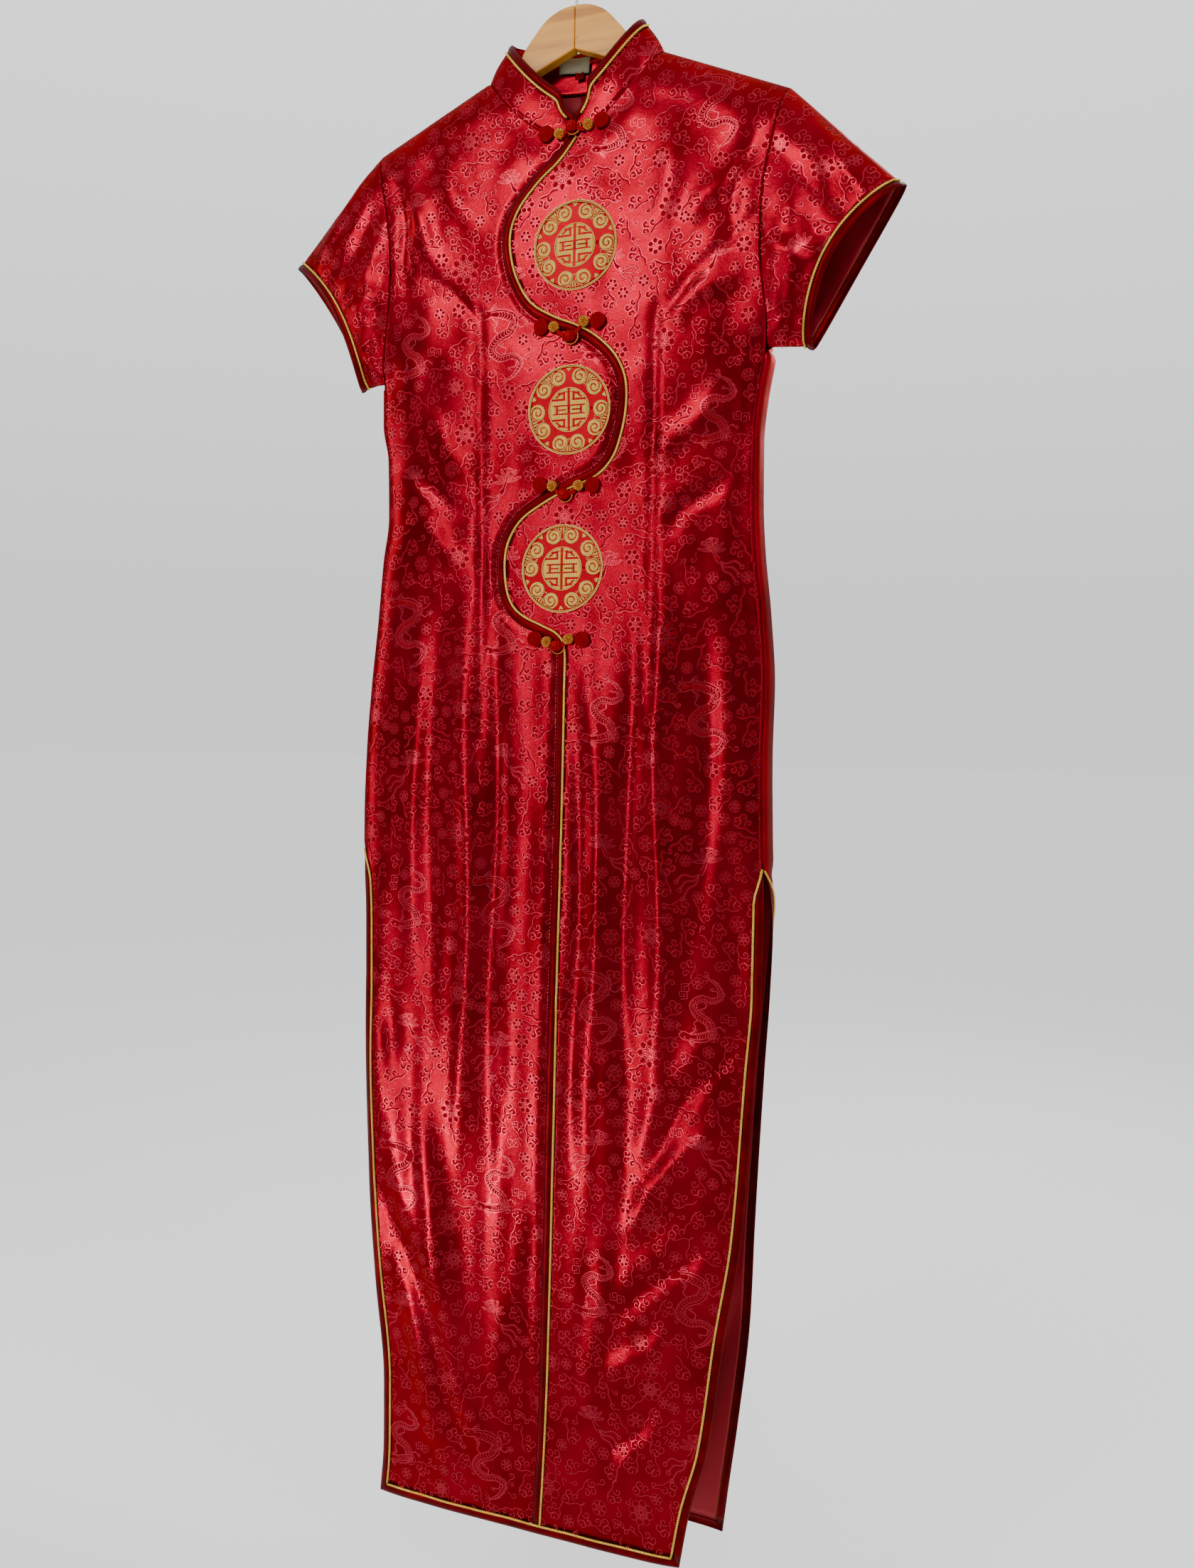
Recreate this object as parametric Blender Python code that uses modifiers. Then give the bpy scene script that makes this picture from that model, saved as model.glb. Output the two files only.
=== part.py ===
"""Cheongsam dress with a wavy front edge, hanging on a wooden hanger.

Metres, +Z up. The origin is the inside of the hook's crown. The dress faces -Y, and +X is
the wearer's left. Heights on the dress are given as a drop below the neck's side point.
"""
import math

import bmesh
import bpy
from mathutils import Vector

NAME = "cheongsam_dress"

# Driving sizes
NECK_Z = -0.115
CLOTH = 0.0015
SEAM = 0.0003
SIDE_SEAM = 0.0002
POWER = 5.0
NECK_HALF = 0.0855
NECK_FRONT = 0.068
NECK_BACK = 0.018
NECK_CURVE = 1.7
SHOULDER_X = 0.2004
SHOULDER_DROP = 0.0504
SHOULDER_ROUND = 0.040
SHOULDER_HALF_GAP = 0.0004
UNDERARM = 0.274
SLIT_TOP = 0.715
FRONT_HEM = 1.351
BACK_HEM = 1.346
BINDING = 0.0085
BINDING_PROUD = 0.0002
PIPING_R = 0.0011
LAP = 0.0021
UNDERLAP = 0.012
LAP_START = 0.0145
LAP_START_AT_NECK = 0.0240
LAP_END = 0.0100
COLLAR_H = 0.038
COLLAR_WALL = 0.002
COLLAR_GAP = 0.0006
COLLAR_MEET = 0.0065
COLLAR_ROUND = 0.045
COLLAR_LEAN = 0.56
COLLAR_FRONT_XS = (0.0120, 0.0190, 0.0260, 0.0346, 0.0450, 0.0553, 0.0630, 0.0704, 0.0800, 0.0855)
COLLAR_BACK_XS = (0.0820, 0.0726, 0.0650, 0.0560, 0.0330, 0.0)
NECK_FRONT_XS = (0.0, 0.0120, 0.0346, 0.0553, 0.0704, 0.0800, 0.0855)
NECK_BACK_XS = (0.0, 0.0330, 0.0560, 0.0726, 0.0820, 0.0855)
LABEL_T = 0.0006
LABEL_OFF = 0.0020
LABEL_SIZE = (0.030, 0.014)
LABEL_PLACE = (-0.006, 0.0255)
TAB_SIZE = (0.008, 0.006)
TAB_PLACE = (-0.001, 0.0152)

# Half widths of the side lines, which are the armhole, the side seam and the slit's edge.
# A turn is the share of the depth that is left at that line. It is negative where the back
# panel wraps round to the front.
SIDE_COLUMNS = ("drop", "front_right", "front_left", "back_right", "back_left",
                "front_depth", "back_depth", "front_turn", "back_turn")
SIDE_ROWS = (
    (0.050, 0.2004, 0.2004, 0.2004, 0.2004, 0.0180, 0.0175, 0.97, 0.97),
    (0.100, 0.1880, 0.1880, 0.1880, 0.1880, 0.0205, 0.0190, 0.97, 0.97),
    (0.145, 0.1812, 0.1812, 0.1812, 0.1812, 0.0220, 0.0205, 0.97, 0.97),
    (0.185, 0.1808, 0.1808, 0.1808, 0.1808, 0.0230, 0.0215, 0.97, 0.96),
    (0.222, 0.1845, 0.1842, 0.1845, 0.1842, 0.0235, 0.0220, 0.94, 0.90),
    (0.250, 0.1888, 0.1872, 0.1888, 0.1872, 0.0235, 0.0225, 0.84, 0.55),
    (0.268, 0.1902, 0.1866, 0.1902, 0.1866, 0.0235, 0.0225, 0.70, 0.05),
    (0.274, 0.1905, 0.1860, 0.1905, 0.1860, 0.0235, 0.0225, 0.63, -0.63),
    (0.310, 0.1905, 0.1800, 0.1905, 0.1800, 0.0230, 0.0220, 0.63, -0.63),
    (0.345, 0.1850, 0.1768, 0.1850, 0.1768, 0.0225, 0.0220, 0.63, -0.63),
    (0.400, 0.1842, 0.1772, 0.1842, 0.1772, 0.0225, 0.0225, 0.63, -0.63),
    (0.440, 0.1895, 0.1795, 0.1895, 0.1795, 0.0230, 0.0230, 0.63, -0.63),
    (0.500, 0.1950, 0.1860, 0.1950, 0.1860, 0.0235, 0.0240, 0.63, -0.63),
    (0.560, 0.2015, 0.1900, 0.2015, 0.1900, 0.0240, 0.0250, 0.63, -0.63),
    (0.620, 0.2065, 0.1890, 0.2065, 0.1890, 0.0240, 0.0260, 0.63, -0.63),
    (0.690, 0.2090, 0.1905, 0.2090, 0.1905, 0.0240, 0.0260, 0.63, -0.63),
    (0.715, 0.2090, 0.1915, 0.2090, 0.1915, 0.0240, 0.0260, 0.63, -0.63),
    (0.740, 0.2080, 0.1945, 0.2110, 0.1960, 0.0242, 0.0260, 0.74, -0.10),
    (0.775, 0.2055, 0.1950, 0.2110, 0.1962, 0.0245, 0.0265, 0.80, 0.35),
    (0.830, 0.2045, 0.1950, 0.2080, 0.1940, 0.0250, 0.0270, 0.82, 0.50),
    (0.905, 0.2030, 0.1900, 0.2020, 0.1890, 0.0260, 0.0280, 0.82, 0.62),
    (1.048, 0.1970, 0.1810, 0.1930, 0.1815, 0.0280, 0.0300, 0.84, 0.75),
    (1.136, 0.1885, 0.1680, 0.1890, 0.1780, 0.0300, 0.0320, 0.85, 0.80),
    (1.240, 0.1770, 0.1550, 0.1780, 0.1670, 0.0320, 0.0340, 0.86, 0.84),
    (1.300, 0.1765, 0.1395, 0.1730, 0.1590, 0.0330, 0.0355, 0.86, 0.86),
    (1.351, 0.1792, 0.1310, 0.1700, 0.1530, 0.0340, 0.0360, 0.86, 0.86),
)

# The wavy front edge, as points of the gold line.
EDGE_COLUMNS = ("x", "drop")
EDGE_POINTS = (
    (0.0120, 0.0656), (-0.0060, 0.0885), (-0.0260, 0.1055), (-0.0440, 0.1265),
    (-0.0530, 0.1480), (-0.0522, 0.1700), (-0.0450, 0.1930), (-0.0320, 0.2130),
    (-0.0100, 0.2270), (0.0130, 0.2370), (0.0330, 0.2490), (0.0510, 0.2670),
    (0.0610, 0.2880), (0.0618, 0.3110), (0.0574, 0.3366), (0.0490, 0.3580),
    (0.0330, 0.3730), (0.0050, 0.3835), (-0.0190, 0.3950), (-0.0390, 0.4080),
    (-0.0510, 0.4250), (-0.0560, 0.4440), (-0.0545, 0.4690), (-0.0480, 0.4860),
    (-0.0360, 0.4970), (-0.0170, 0.5060), (-0.0010, 0.5145), (0.0060, 0.5290),
    (0.0060, 0.5700), (0.0052, 0.6900), (0.0030, 0.8400), (0.0015, 1.0000),
    (0.0010, 1.1200), (-0.0005, 1.2500), (-0.0040, 1.3425),
)
EDGE_FIRST_STEPS = (0.0, 0.0015, 0.006, 0.014, 0.024)
EDGE_WAVE_STEP = 0.0240
EDGE_WAVE_END = 0.545
EDGE_LOWER_DROPS = (0.600, 0.660, 0.708, 0.7265, 0.740, 0.757, 0.800, 0.860, 0.920, 0.985,
                    1.055, 1.125, 1.195, 1.265, 1.3425)

# Soft folds of the skirt. A positive height stands out from the panel.
FOLD_COLUMNS = ("x_top", "drop_top", "x_end", "drop_end", "half_width", "height")
FRONT_FOLDS = (
    (-0.094, 0.46, -0.092, 0.98, 0.020, 0.0022),
    (-0.032, 0.56, -0.038, 1.02, 0.020, 0.0020),
    (0.036, 0.50, 0.038, 1.00, 0.020, 0.0022),
    (0.104, 0.46, 0.100, 0.92, 0.022, 0.0026),
    (-0.200, 0.84, -0.100, 1.26, 0.026, 0.0055),
    (-0.165, 1.02, -0.070, 1.30, 0.022, 0.0035),
    (0.180, 0.84, 0.075, 1.02, 0.022, 0.0040),
    (0.155, 1.02, 0.060, 1.16, 0.024, 0.0040),
)
BACK_FOLDS = (
    (-0.110, 0.50, -0.105, 1.10, 0.024, 0.0024),
    (-0.040, 0.56, -0.046, 1.05, 0.022, 0.0020),
    (0.046, 0.52, 0.050, 1.08, 0.022, 0.0022),
    (0.112, 0.50, 0.104, 0.96, 0.024, 0.0026),
    (0.185, 0.86, 0.080, 1.14, 0.026, 0.0045),
    (-0.185, 0.90, -0.085, 1.20, 0.026, 0.0045),
)

FRONT_SHARES = (0.0, 0.04, 0.20, 0.42, 0.61, 0.639, 0.69, 0.77, 0.88, 1.0)
BACK_FROM_EDGE = (0.0, 0.007, 0.015, 0.024, 0.036)
BACK_FLAT_SHARES = (0.20, 0.34, 0.44, 0.497, 0.518, 0.76)
BACK_LEVELS = (0.0015, 0.006, 0.014, 0.024, 0.042, 0.064, 0.088, 0.112, 0.138, 0.162, 0.184, 0.207,
               0.235, 0.249, 0.256, 0.292, 0.328, 0.366, 0.406, 0.448, 0.490, 0.536, 0.582,
               0.642, 0.690)
BACK_SLIT_LEVELS = (0.7085, 0.722, 0.739, 0.782, 0.842, 0.902, 0.967, 1.037, 1.107, 1.177, 1.247)

# Sleeves: the cuff's gold line from its top fold to its under fold, seen from the front.
CUFF_TOP = (0.2930, 0.1405)
CUFF_UNDER = (0.2170, 0.2695)
CUFF_BOW_FRONT = 0.020
CUFF_BOW_BACK = 0.004
CUFF_FRONT_Y = -0.022
CUFF_BACK_Y = 0.016
SLEEVE_RINGS = 6
CUFF_CORD_OUT = 0.0027
ARMHOLE_DROPS = (0.0504, 0.060, 0.080, 0.108, 0.140, 0.175, 0.208, 0.236, 0.256, 0.268)
UNDERARM_LIFT = 0.0065
ARMHOLE_GAP = 0.0008

# Frogs: the knot's place, and each coil's place beside and above it
FROG_COLUMNS = ("x", "drop", "knot_seat", "gold_right_x", "gold_right_up", "red_right_x",
                "red_right_up", "gold_left_x", "gold_left_up", "red_left_x", "red_left_up")
FROGS = (
    (0.0055, 0.0610, 0.0004, -0.0128, -0.0042, -0.0255, -0.0020, 0.0152, -0.0002, 0.0285, 0.0017),
    (0.0075, 0.2474, 0.0000, -0.0165, 0.0101, -0.0292, 0.0118, 0.0140, 0.0116, 0.0268, 0.0119),
    (0.0035, 0.3878, 0.0024, -0.0122, 0.0079, -0.0247, 0.0099, 0.0146, 0.0066, 0.0275, 0.0072),
    (-0.0014, 0.5248, 0.0008, -0.0102, 0.0037, -0.0224, 0.0064, 0.0125, 0.0058, 0.0250, 0.0062),
)
RED_COIL_R = 0.0070
GOLD_COIL_R = 0.0049
COIL_H = 0.0034
COIL_SEAT = 0.0005
COIL_SEAT_ON_CORD = 0.0031
KNOT_R = 0.0052

# Roundels embroidered in gold thread
MEDALLION_COLUMNS = ("x", "drop")
MEDALLIONS = ((0.0104, 0.1663), (0.0068, 0.3121), (0.0016, 0.4545))
MEDALLION_R = 0.0402
MEDALLION_H = 0.0009

# Hanger
WOOD_T = 0.0105
WOOD_TOP = ((0.0002, 0.0550), (0.0110, 0.0540), (0.0208, 0.0505), (0.0300, 0.0450),
            (0.0400, 0.0345), (0.0504, 0.0215), (0.0640, -0.0020), (0.0855, -0.0095))
WOOD_END_X = 0.186
WOOD_UNDER_SHOULDER = 0.0030
WOOD_V_Z = 0.0160
WOOD_V_SLOPE = 0.36
WOOD_DEPTH = 0.026
HOOK_WIRE_R = 0.0016
HOOK_BOW_R = 0.0216

COLOURS = {
    "brocade": (0.46, 0.010, 0.022, 1.0),
    "satin": (0.20, 0.006, 0.012, 1.0),
    "gold_cord": (0.70, 0.47, 0.10, 1.0),
    "gold_thread": (0.76, 0.50, 0.12, 1.0),
    "red_cord": (0.24, 0.008, 0.012, 1.0),
    "wood": (0.82, 0.50, 0.18, 1.0),
    "steel": (0.62, 0.62, 0.63, 1.0),
    "label": (0.24, 0.22, 0.14, 1.0),
}
METALLIC = {"steel": 1.0, "gold_cord": 0.6, "gold_thread": 0.6}


def clear_scene():
    for old in list(bpy.data.objects):
        bpy.data.objects.remove(old)


def material(slot):
    made = bpy.data.materials.get(slot)
    if made is None:
        made = bpy.data.materials.new(slot)
        made.use_nodes = True
        shader = made.node_tree.nodes["Principled BSDF"]
        shader.inputs["Base Color"].default_value = COLOURS[slot]
        shader.inputs["Roughness"].default_value = 0.4
        shader.inputs["Metallic"].default_value = METALLIC.get(slot, 0.0)
        made.diffuse_color = COLOURS[slot]
    return made


def add_object(name, data, slot):
    made = bpy.data.objects.new(name, data)
    data.materials.append(material(slot))
    bpy.data.collections[NAME].objects.link(made)
    return made


def smoothstep(t):
    t = min(max(t, 0.0), 1.0)
    return t * t * (3.0 - 2.0 * t)


def mix(a, b, t):
    return a + (b - a) * t


def read_table(rows, columns, name, key):
    """Value of a named column at a key, by a smooth curve that doesn't overshoot."""
    k = columns.index(name)
    keys = [row[0] for row in rows]
    values = [row[k] for row in rows]
    if key <= keys[0]:
        return values[0]
    if key >= keys[-1]:
        return values[-1]
    i = max(j for j in range(len(keys) - 1) if keys[j] <= key)
    step = keys[i + 1] - keys[i]
    slopes = [(values[j + 1] - values[j]) / (keys[j + 1] - keys[j]) for j in range(len(keys) - 1)]

    def tangent(j):
        if j == 0 or j == len(keys) - 1:
            return slopes[min(j, len(slopes) - 1)]
        a, b = slopes[j - 1], slopes[j]
        return 0.0 if a * b <= 0.0 else 2.0 * a * b / (a + b)

    t = (key - keys[i]) / step
    h00 = (1.0 + 2.0 * t) * (1.0 - t) ** 2
    h10 = t * (1.0 - t) ** 2
    h01 = t * t * (3.0 - 2.0 * t)
    h11 = t * t * (t - 1.0)
    return (h00 * values[i] + h10 * step * tangent(i)
            + h01 * values[i + 1] + h11 * step * tangent(i + 1))


def side(name, drop):
    return read_table(SIDE_ROWS, SIDE_COLUMNS, name, drop)


def curve_samples(points, per_span=12):
    """A Catmull-Rom curve through 2D points, as a dense list."""
    out = []
    last = len(points) - 1
    for i in range(last):
        p0 = points[max(i - 1, 0)]
        p1 = points[i]
        p2 = points[i + 1]
        p3 = points[min(i + 2, last)]
        for s in range(per_span):
            t = s / per_span
            out.append(tuple(
                0.5 * (2.0 * p1[a] + (p2[a] - p0[a]) * t
                       + (2.0 * p0[a] - 5.0 * p1[a] + 4.0 * p2[a] - p3[a]) * t * t
                       + (3.0 * p1[a] - p0[a] - 3.0 * p2[a] + p3[a]) * t ** 3)
                for a in (0, 1)))
    out.append(points[last])
    return out


def edge_rows():
    """Rows of the wavy edge: x, drop and the normal that points under the top panel."""
    dense = curve_samples(EDGE_POINTS)
    length = [0.0]
    for p, q in zip(dense, dense[1:]):
        length.append(length[-1] + math.dist(p, q))
    wave_end = next(s for s, p in zip(length, dense) if p[1] >= EDGE_WAVE_END)
    stops = list(EDGE_FIRST_STEPS)
    while stops[-1] + EDGE_WAVE_STEP < wave_end:
        stops.append(stops[-1] + EDGE_WAVE_STEP)
    for drop in EDGE_LOWER_DROPS:
        i = max(j for j in range(len(dense) - 1) if dense[j][1] <= drop)
        t = (drop - dense[i][1]) / (dense[i + 1][1] - dense[i][1])
        stops.append(mix(length[i], length[i + 1], t))
    rows = []
    for stop in stops:
        i = max(j for j in range(len(length) - 1) if length[j] <= stop + 1e-9)
        t = min((stop - length[i]) / (length[i + 1] - length[i]), 1.0)
        place = Vector(dense[i]).lerp(Vector(dense[i + 1]), t)
        run = Vector(dense[min(i + 5, len(dense) - 1)]) - Vector(dense[max(i - 4, 0)])
        normal = Vector((run.y, -run.x)).normalized()
        level = smoothstep(stop / 0.05) * (1.0 - smoothstep((place.y - 0.70) / 0.03))
        normal = Vector((1.0, 0.0)).lerp(normal, level).normalized()
        rows.append((place.x, place.y, normal.x, normal.y))
    return rows


def shoulder_drop(x):
    slope = SHOULDER_DROP / (SHOULDER_X - NECK_HALF)
    return max(0.0, (abs(x) - NECK_HALF) * slope)


def neck_drop(x, depth):
    ratio = min(abs(x) / NECK_HALF, 1.0)
    return depth * (1.0 - ratio ** NECK_CURVE)


def top_drop(x, neck_depth):
    if abs(x) < NECK_HALF:
        return neck_drop(x, neck_depth)
    return shoulder_drop(x)


def shoulder_rise(below):
    """Share of the depth that is reached at a distance below the shoulder line."""
    t = min(max(below, 0.0) / SHOULDER_ROUND, 1.0)
    return math.sqrt(1.0 - (1.0 - t) ** 2)


def squircle(share):
    return max(1.0 - abs(share) ** POWER, 0.0) ** (1.0 / POWER)


def fold_height(folds, x, drop):
    total = 0.0
    for x_top, drop_top, x_end, drop_end, half_width, height in folds:
        along_x = x_end - x_top
        along_d = drop_end - drop_top
        run = math.hypot(along_x, along_d)
        t = ((x - x_top) * along_x + (drop - drop_top) * along_d) / (run * run)
        if t <= 0.0 or t >= 1.0:
            continue
        off = ((x - x_top) * along_d - (drop - drop_top) * along_x) / run
        across = math.exp(-(off / half_width) ** 2)
        total += height * across * math.sin(math.pi * t) ** 0.8
    return total


def front_y(x, drop):
    column = "front_left" if x > 0.0 else "front_right"
    depth = side("front_depth", drop)
    turn = side("front_turn", drop)
    width = side(column, drop) / squircle(turn)
    share = min(abs(x) / width, 0.999)
    calm = smoothstep((width - abs(x)) / 0.03)
    flat = depth * squircle(share) * shoulder_rise(drop - shoulder_drop(x))
    return -max(flat, SHOULDER_HALF_GAP) - fold_height(FRONT_FOLDS, x, drop) * calm


def to_world(x, y, drop):
    return Vector((x, y, NECK_Z - drop))


def front_frame(x, drop):
    """Point of the front's outer face, and its outward normal."""
    below = drop - shoulder_drop(x)

    def at(x_at, below_at):
        drop_at = below_at + shoulder_drop(x_at)
        return to_world(x_at, front_y(x_at, drop_at), drop_at)

    step = 0.0015
    small = 0.0003 if below < 0.004 else 0.0015
    across = at(x + step, below) - at(x - step, below)
    down = at(x, below + small) - at(x, max(below - small, 0.0))
    normal = across.cross(down).normalized()
    if normal.y > 0.02:
        normal.negate()
    return at(x, below), normal


def front_point(x, drop, out=0.0):
    place, normal = front_frame(x, drop)
    return place + normal * out


def both_faces(place, normal, out, thick):
    return place + normal * out, place + normal * (out - thick)


OUTLINES = {}


def back_outline(drop, column):
    """Outline of one half of the back, from the centre to the side line, with its lengths."""
    if (drop, column) in OUTLINES:
        return OUTLINES[drop, column]
    depth = side("back_depth", drop)
    front_depth = side("front_depth", drop)
    turn = side("back_turn", drop)
    width = side(column, drop) / squircle(turn)
    knee = 0.84
    points = []
    if turn > knee:
        limit = squircle(turn)
        points = [(limit * k / 40.0 * width, squircle(limit * k / 40.0) * depth) for k in range(41)]
    else:
        flat = squircle(knee)
        points = [(flat * k / 20.0 * width, squircle(flat * k / 20.0) * depth) for k in range(21)]
        for k in range(1, 25):
            level = mix(knee, turn, k / 24.0)
            reach = depth if level > 0.0 else front_depth
            points.append((squircle(level) * width, level * reach))
    length = [0.0]
    for p, q in zip(points, points[1:]):
        length.append(length[-1] + math.dist(p, q))
    OUTLINES[drop, column] = (points, length)
    return points, length


def back_at(level, column, share, from_edge):
    """Point of the back at a level. A share runs over the flat part, or from_edge is a length."""
    fade = 1.0 - smoothstep(level / 0.16)
    lowest = level + NECK_BACK + (SHOULDER_DROP - NECK_BACK) * fade
    points, length = back_outline(round(lowest, 6), column)
    total = length[-1]
    stop = share * (total - BACK_FROM_EDGE[-1]) if from_edge is None else total - from_edge
    stop = min(max(stop, 0.0), total)
    i = max(j for j in range(len(length) - 1) if length[j] <= stop)
    t = (stop - length[i]) / (length[i + 1] - length[i])
    x = mix(points[i][0], points[i + 1][0], t)
    y = mix(points[i][1], points[i + 1][1], t)
    drop = level + NECK_BACK + (top_drop(x, NECK_BACK) - NECK_BACK) * fade
    if y > 0.0:
        calm = smoothstep((points[-1][0] - x) / 0.03)
        y = max(y * shoulder_rise(drop - shoulder_drop(x)), SHOULDER_HALF_GAP)
        y += fold_height(BACK_FOLDS, x, drop) * calm
    sign = 1.0 if column == "back_left" else -1.0
    return to_world(sign * x, y, drop)


def back_frame(level, column, share=None, from_edge=None):
    """Point of the back's outer face, and its outward normal."""
    small = 0.0003 if level < 0.004 else 0.0015
    place = back_at(level, column, share, from_edge)
    if from_edge is None:
        across = (back_at(level, column, share + 0.012, None)
                  - back_at(level, column, max(share - 0.012, 0.0), None))
    else:
        across = (back_at(level, column, None, max(from_edge - 0.0012, 0.0))
                  - back_at(level, column, None, from_edge + 0.0012))
    down = (back_at(level + small, column, share, from_edge)
            - back_at(max(level - small, 0.0), column, share, from_edge))
    normal = down.cross(across).normalized()
    if column == "back_right":
        normal.negate()
    return place, normal


def slit_inset(drop):
    return BINDING * smoothstep((drop - SLIT_TOP) / 0.035)


def grid_faces(work, verts, closed):
    count = len(verts[0])
    spans = count if closed else count - 1
    for upper, lower in zip(verts, verts[1:]):
        for k in range(spans):
            n = (k + 1) % count
            work.faces.new((upper[k], lower[k], lower[n], upper[n]))


def wall(name, pairs, slot):
    """Cloth wall with an outer and an inner face. Each pair holds the two points of one place."""
    mesh = bpy.data.meshes.new(name)
    work = bmesh.new()
    outer = [[work.verts.new(pair[0]) for pair in row] for row in pairs]
    inner = [[work.verts.new(pair[1]) for pair in row] for row in pairs]
    grid_faces(work, outer, False)
    grid_faces(work, [list(reversed(row)) for row in inner], False)
    rim_outer = outer[0][:-1] + [row[-1] for row in outer[:-1]]
    rim_outer += list(reversed(outer[-1]))[:-1] + [row[0] for row in reversed(outer)][:-1]
    rim_inner = inner[0][:-1] + [row[-1] for row in inner[:-1]]
    rim_inner += list(reversed(inner[-1]))[:-1] + [row[0] for row in reversed(inner)][:-1]
    for k in range(len(rim_outer)):
        n = (k + 1) % len(rim_outer)
        work.faces.new((rim_outer[k], rim_outer[n], rim_inner[n], rim_inner[k]))
    bmesh.ops.recalc_face_normals(work, faces=work.faces)
    work.to_mesh(mesh)
    work.free()
    mesh.shade_smooth()
    mesh.set_sharp_from_angle(angle=math.radians(40.0))
    return add_object(name, mesh, slot)


def ring_wall(name, rings, slot, thick=CLOTH):
    """Tube of cloth through closed rings, open at both ends."""
    mesh = bpy.data.meshes.new(name)
    work = bmesh.new()
    grid_faces(work, [[work.verts.new(p) for p in ring] for ring in rings], True)
    work.to_mesh(mesh)
    work.free()
    middle = sum((v.co for v in mesh.vertices), Vector()) / len(mesh.vertices)
    lowest = min(mesh.polygons, key=lambda p: p.center.y)
    if lowest.normal.dot(lowest.center - middle) < 0.0:
        mesh.flip_normals()
    made = add_object(name, mesh, slot)
    solid = made.modifiers.new("cloth", "SOLIDIFY")
    solid.thickness = thick
    solid.offset = -1.0
    mesh.shade_smooth()


def tube(name, points, radius, slot, closed=False, resolution=1):
    data = bpy.data.curves.new(name, "CURVE")
    data.dimensions = "3D"
    data.bevel_depth = radius
    data.bevel_resolution = resolution
    data.use_fill_caps = True
    spline = data.splines.new("POLY")
    spline.points.add(len(points) - 1)
    for point, place in zip(spline.points, points):
        point.co = (*place, 1.0)
    spline.use_cyclic_u = closed
    add_object(name, data, slot)


def row_fade(row, rows):
    return 1.0 - smoothstep((row[1] - rows[0][1]) / 0.17)


def side_place(rows, row, column):
    """Drop and half width of a front panel's side line at a row."""
    drop = row[1] + (SHOULDER_DROP - rows[0][1]) * row_fade(row, rows)
    return drop, side(column, drop) - slit_inset(drop) - SIDE_SEAM


def front_left_panel(rows):
    """The top panel, at +X, from its side line to the gold line."""
    pairs = []
    for row in rows:
        fade = row_fade(row, rows)
        x_side = side_place(rows, row, "front_left")[1]
        line = []
        for share in FRONT_SHARES:
            x_top = mix(SHOULDER_X, rows[0][0], share)
            drop = row[1] + (top_drop(x_top, NECK_FRONT) - rows[0][1]) * fade
            line.append(both_faces(*front_frame(mix(x_side, row[0], share), drop), 0.0, CLOTH))
        pairs.append(line)
    wall("front_left", pairs, "brocade")


def front_right_panel(rows):
    """The under panel, at -X, which runs on below the top panel's edge."""
    pairs = []
    for row in rows:
        x_edge, drop_edge, nx, nd = row
        fade = row_fade(row, rows)
        x_side = -side_place(rows, row, "front_right")[1]
        lap_start = mix(LAP_START, LAP_START_AT_NECK, 1.0 - smoothstep((drop_edge - rows[0][1]) / 0.06))
        x_lap = x_edge - nx * lap_start
        drop_lap = drop_edge - nd * lap_start
        line = []
        for share in FRONT_SHARES:
            x_top = mix(-SHOULDER_X, rows[0][0] - LAP_START_AT_NECK, share)
            drop = mix(drop_edge, drop_lap, share) + (top_drop(x_top, NECK_FRONT) - rows[0][1]) * fade
            line.append(both_faces(*front_frame(mix(x_side, x_lap, share), drop), 0.0, CLOTH))
        for away in (LAP_END, 0.0, -UNDERLAP):
            x_top = rows[0][0] - away
            drop = drop_edge - nd * away + (top_drop(x_top, NECK_FRONT) - rows[0][1]) * fade
            line.append(both_faces(*front_frame(x_edge - nx * away, drop), -LAP, CLOTH))
        pairs.append(line)
    wall("front_right", pairs, "brocade")


def back_levels():
    return (0.0,) + BACK_LEVELS + BACK_SLIT_LEVELS + (BACK_HEM - BINDING - NECK_BACK,)


def back_panel(column):
    pairs = []
    for level in back_levels():
        inset = slit_inset(level + NECK_BACK) + SIDE_SEAM
        line = []
        for share in (0.0,) + BACK_FLAT_SHARES:
            line.append(both_faces(*back_frame(level, column, share=share), 0.0, CLOTH))
        for away in reversed(BACK_FROM_EDGE):
            room = BACK_FROM_EDGE[-1]
            place = inset + away * (room - inset) / room
            line.append(both_faces(*back_frame(level, column, from_edge=place), 0.0, CLOTH))
        sign = 1.0 if column == "back_left" else -1.0
        for face in line[0]:
            face.x = sign * SEAM * 0.6
        pairs.append(line)
    wall(column, pairs, "brocade")


def armhole_loop(sign):
    """Points just outside the armhole: top, front side down, under, back side up."""
    column_front = "front_left" if sign > 0 else "front_right"
    column_back = "back_left" if sign > 0 else "back_right"
    front = []
    back = []
    for drop in ARMHOLE_DROPS:
        x = side(column_front, drop)
        lift = UNDERARM_LIFT * smoothstep((drop - 0.22) / 0.045)
        front.append(to_world(sign * (x + ARMHOLE_GAP), front_y(sign * x, drop), drop - lift))
        turn = side("back_turn", drop)
        depth = side("back_depth", drop) if turn > 0.0 else side("front_depth", drop)
        y = turn * depth * shoulder_rise(drop - SHOULDER_DROP)
        back.append(to_world(sign * (side(column_back, drop) + ARMHOLE_GAP), y, drop - lift))
    top = to_world(sign * (SHOULDER_X + ARMHOLE_GAP), 0.0, SHOULDER_DROP)
    x = side(column_front, UNDERARM)
    under = to_world(sign * (x + ARMHOLE_GAP), front_y(sign * x, UNDERARM) * 0.6,
                     UNDERARM - UNDERARM_LIFT)
    return [top] + front[1:] + [under] + list(reversed(back[1:]))


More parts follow.
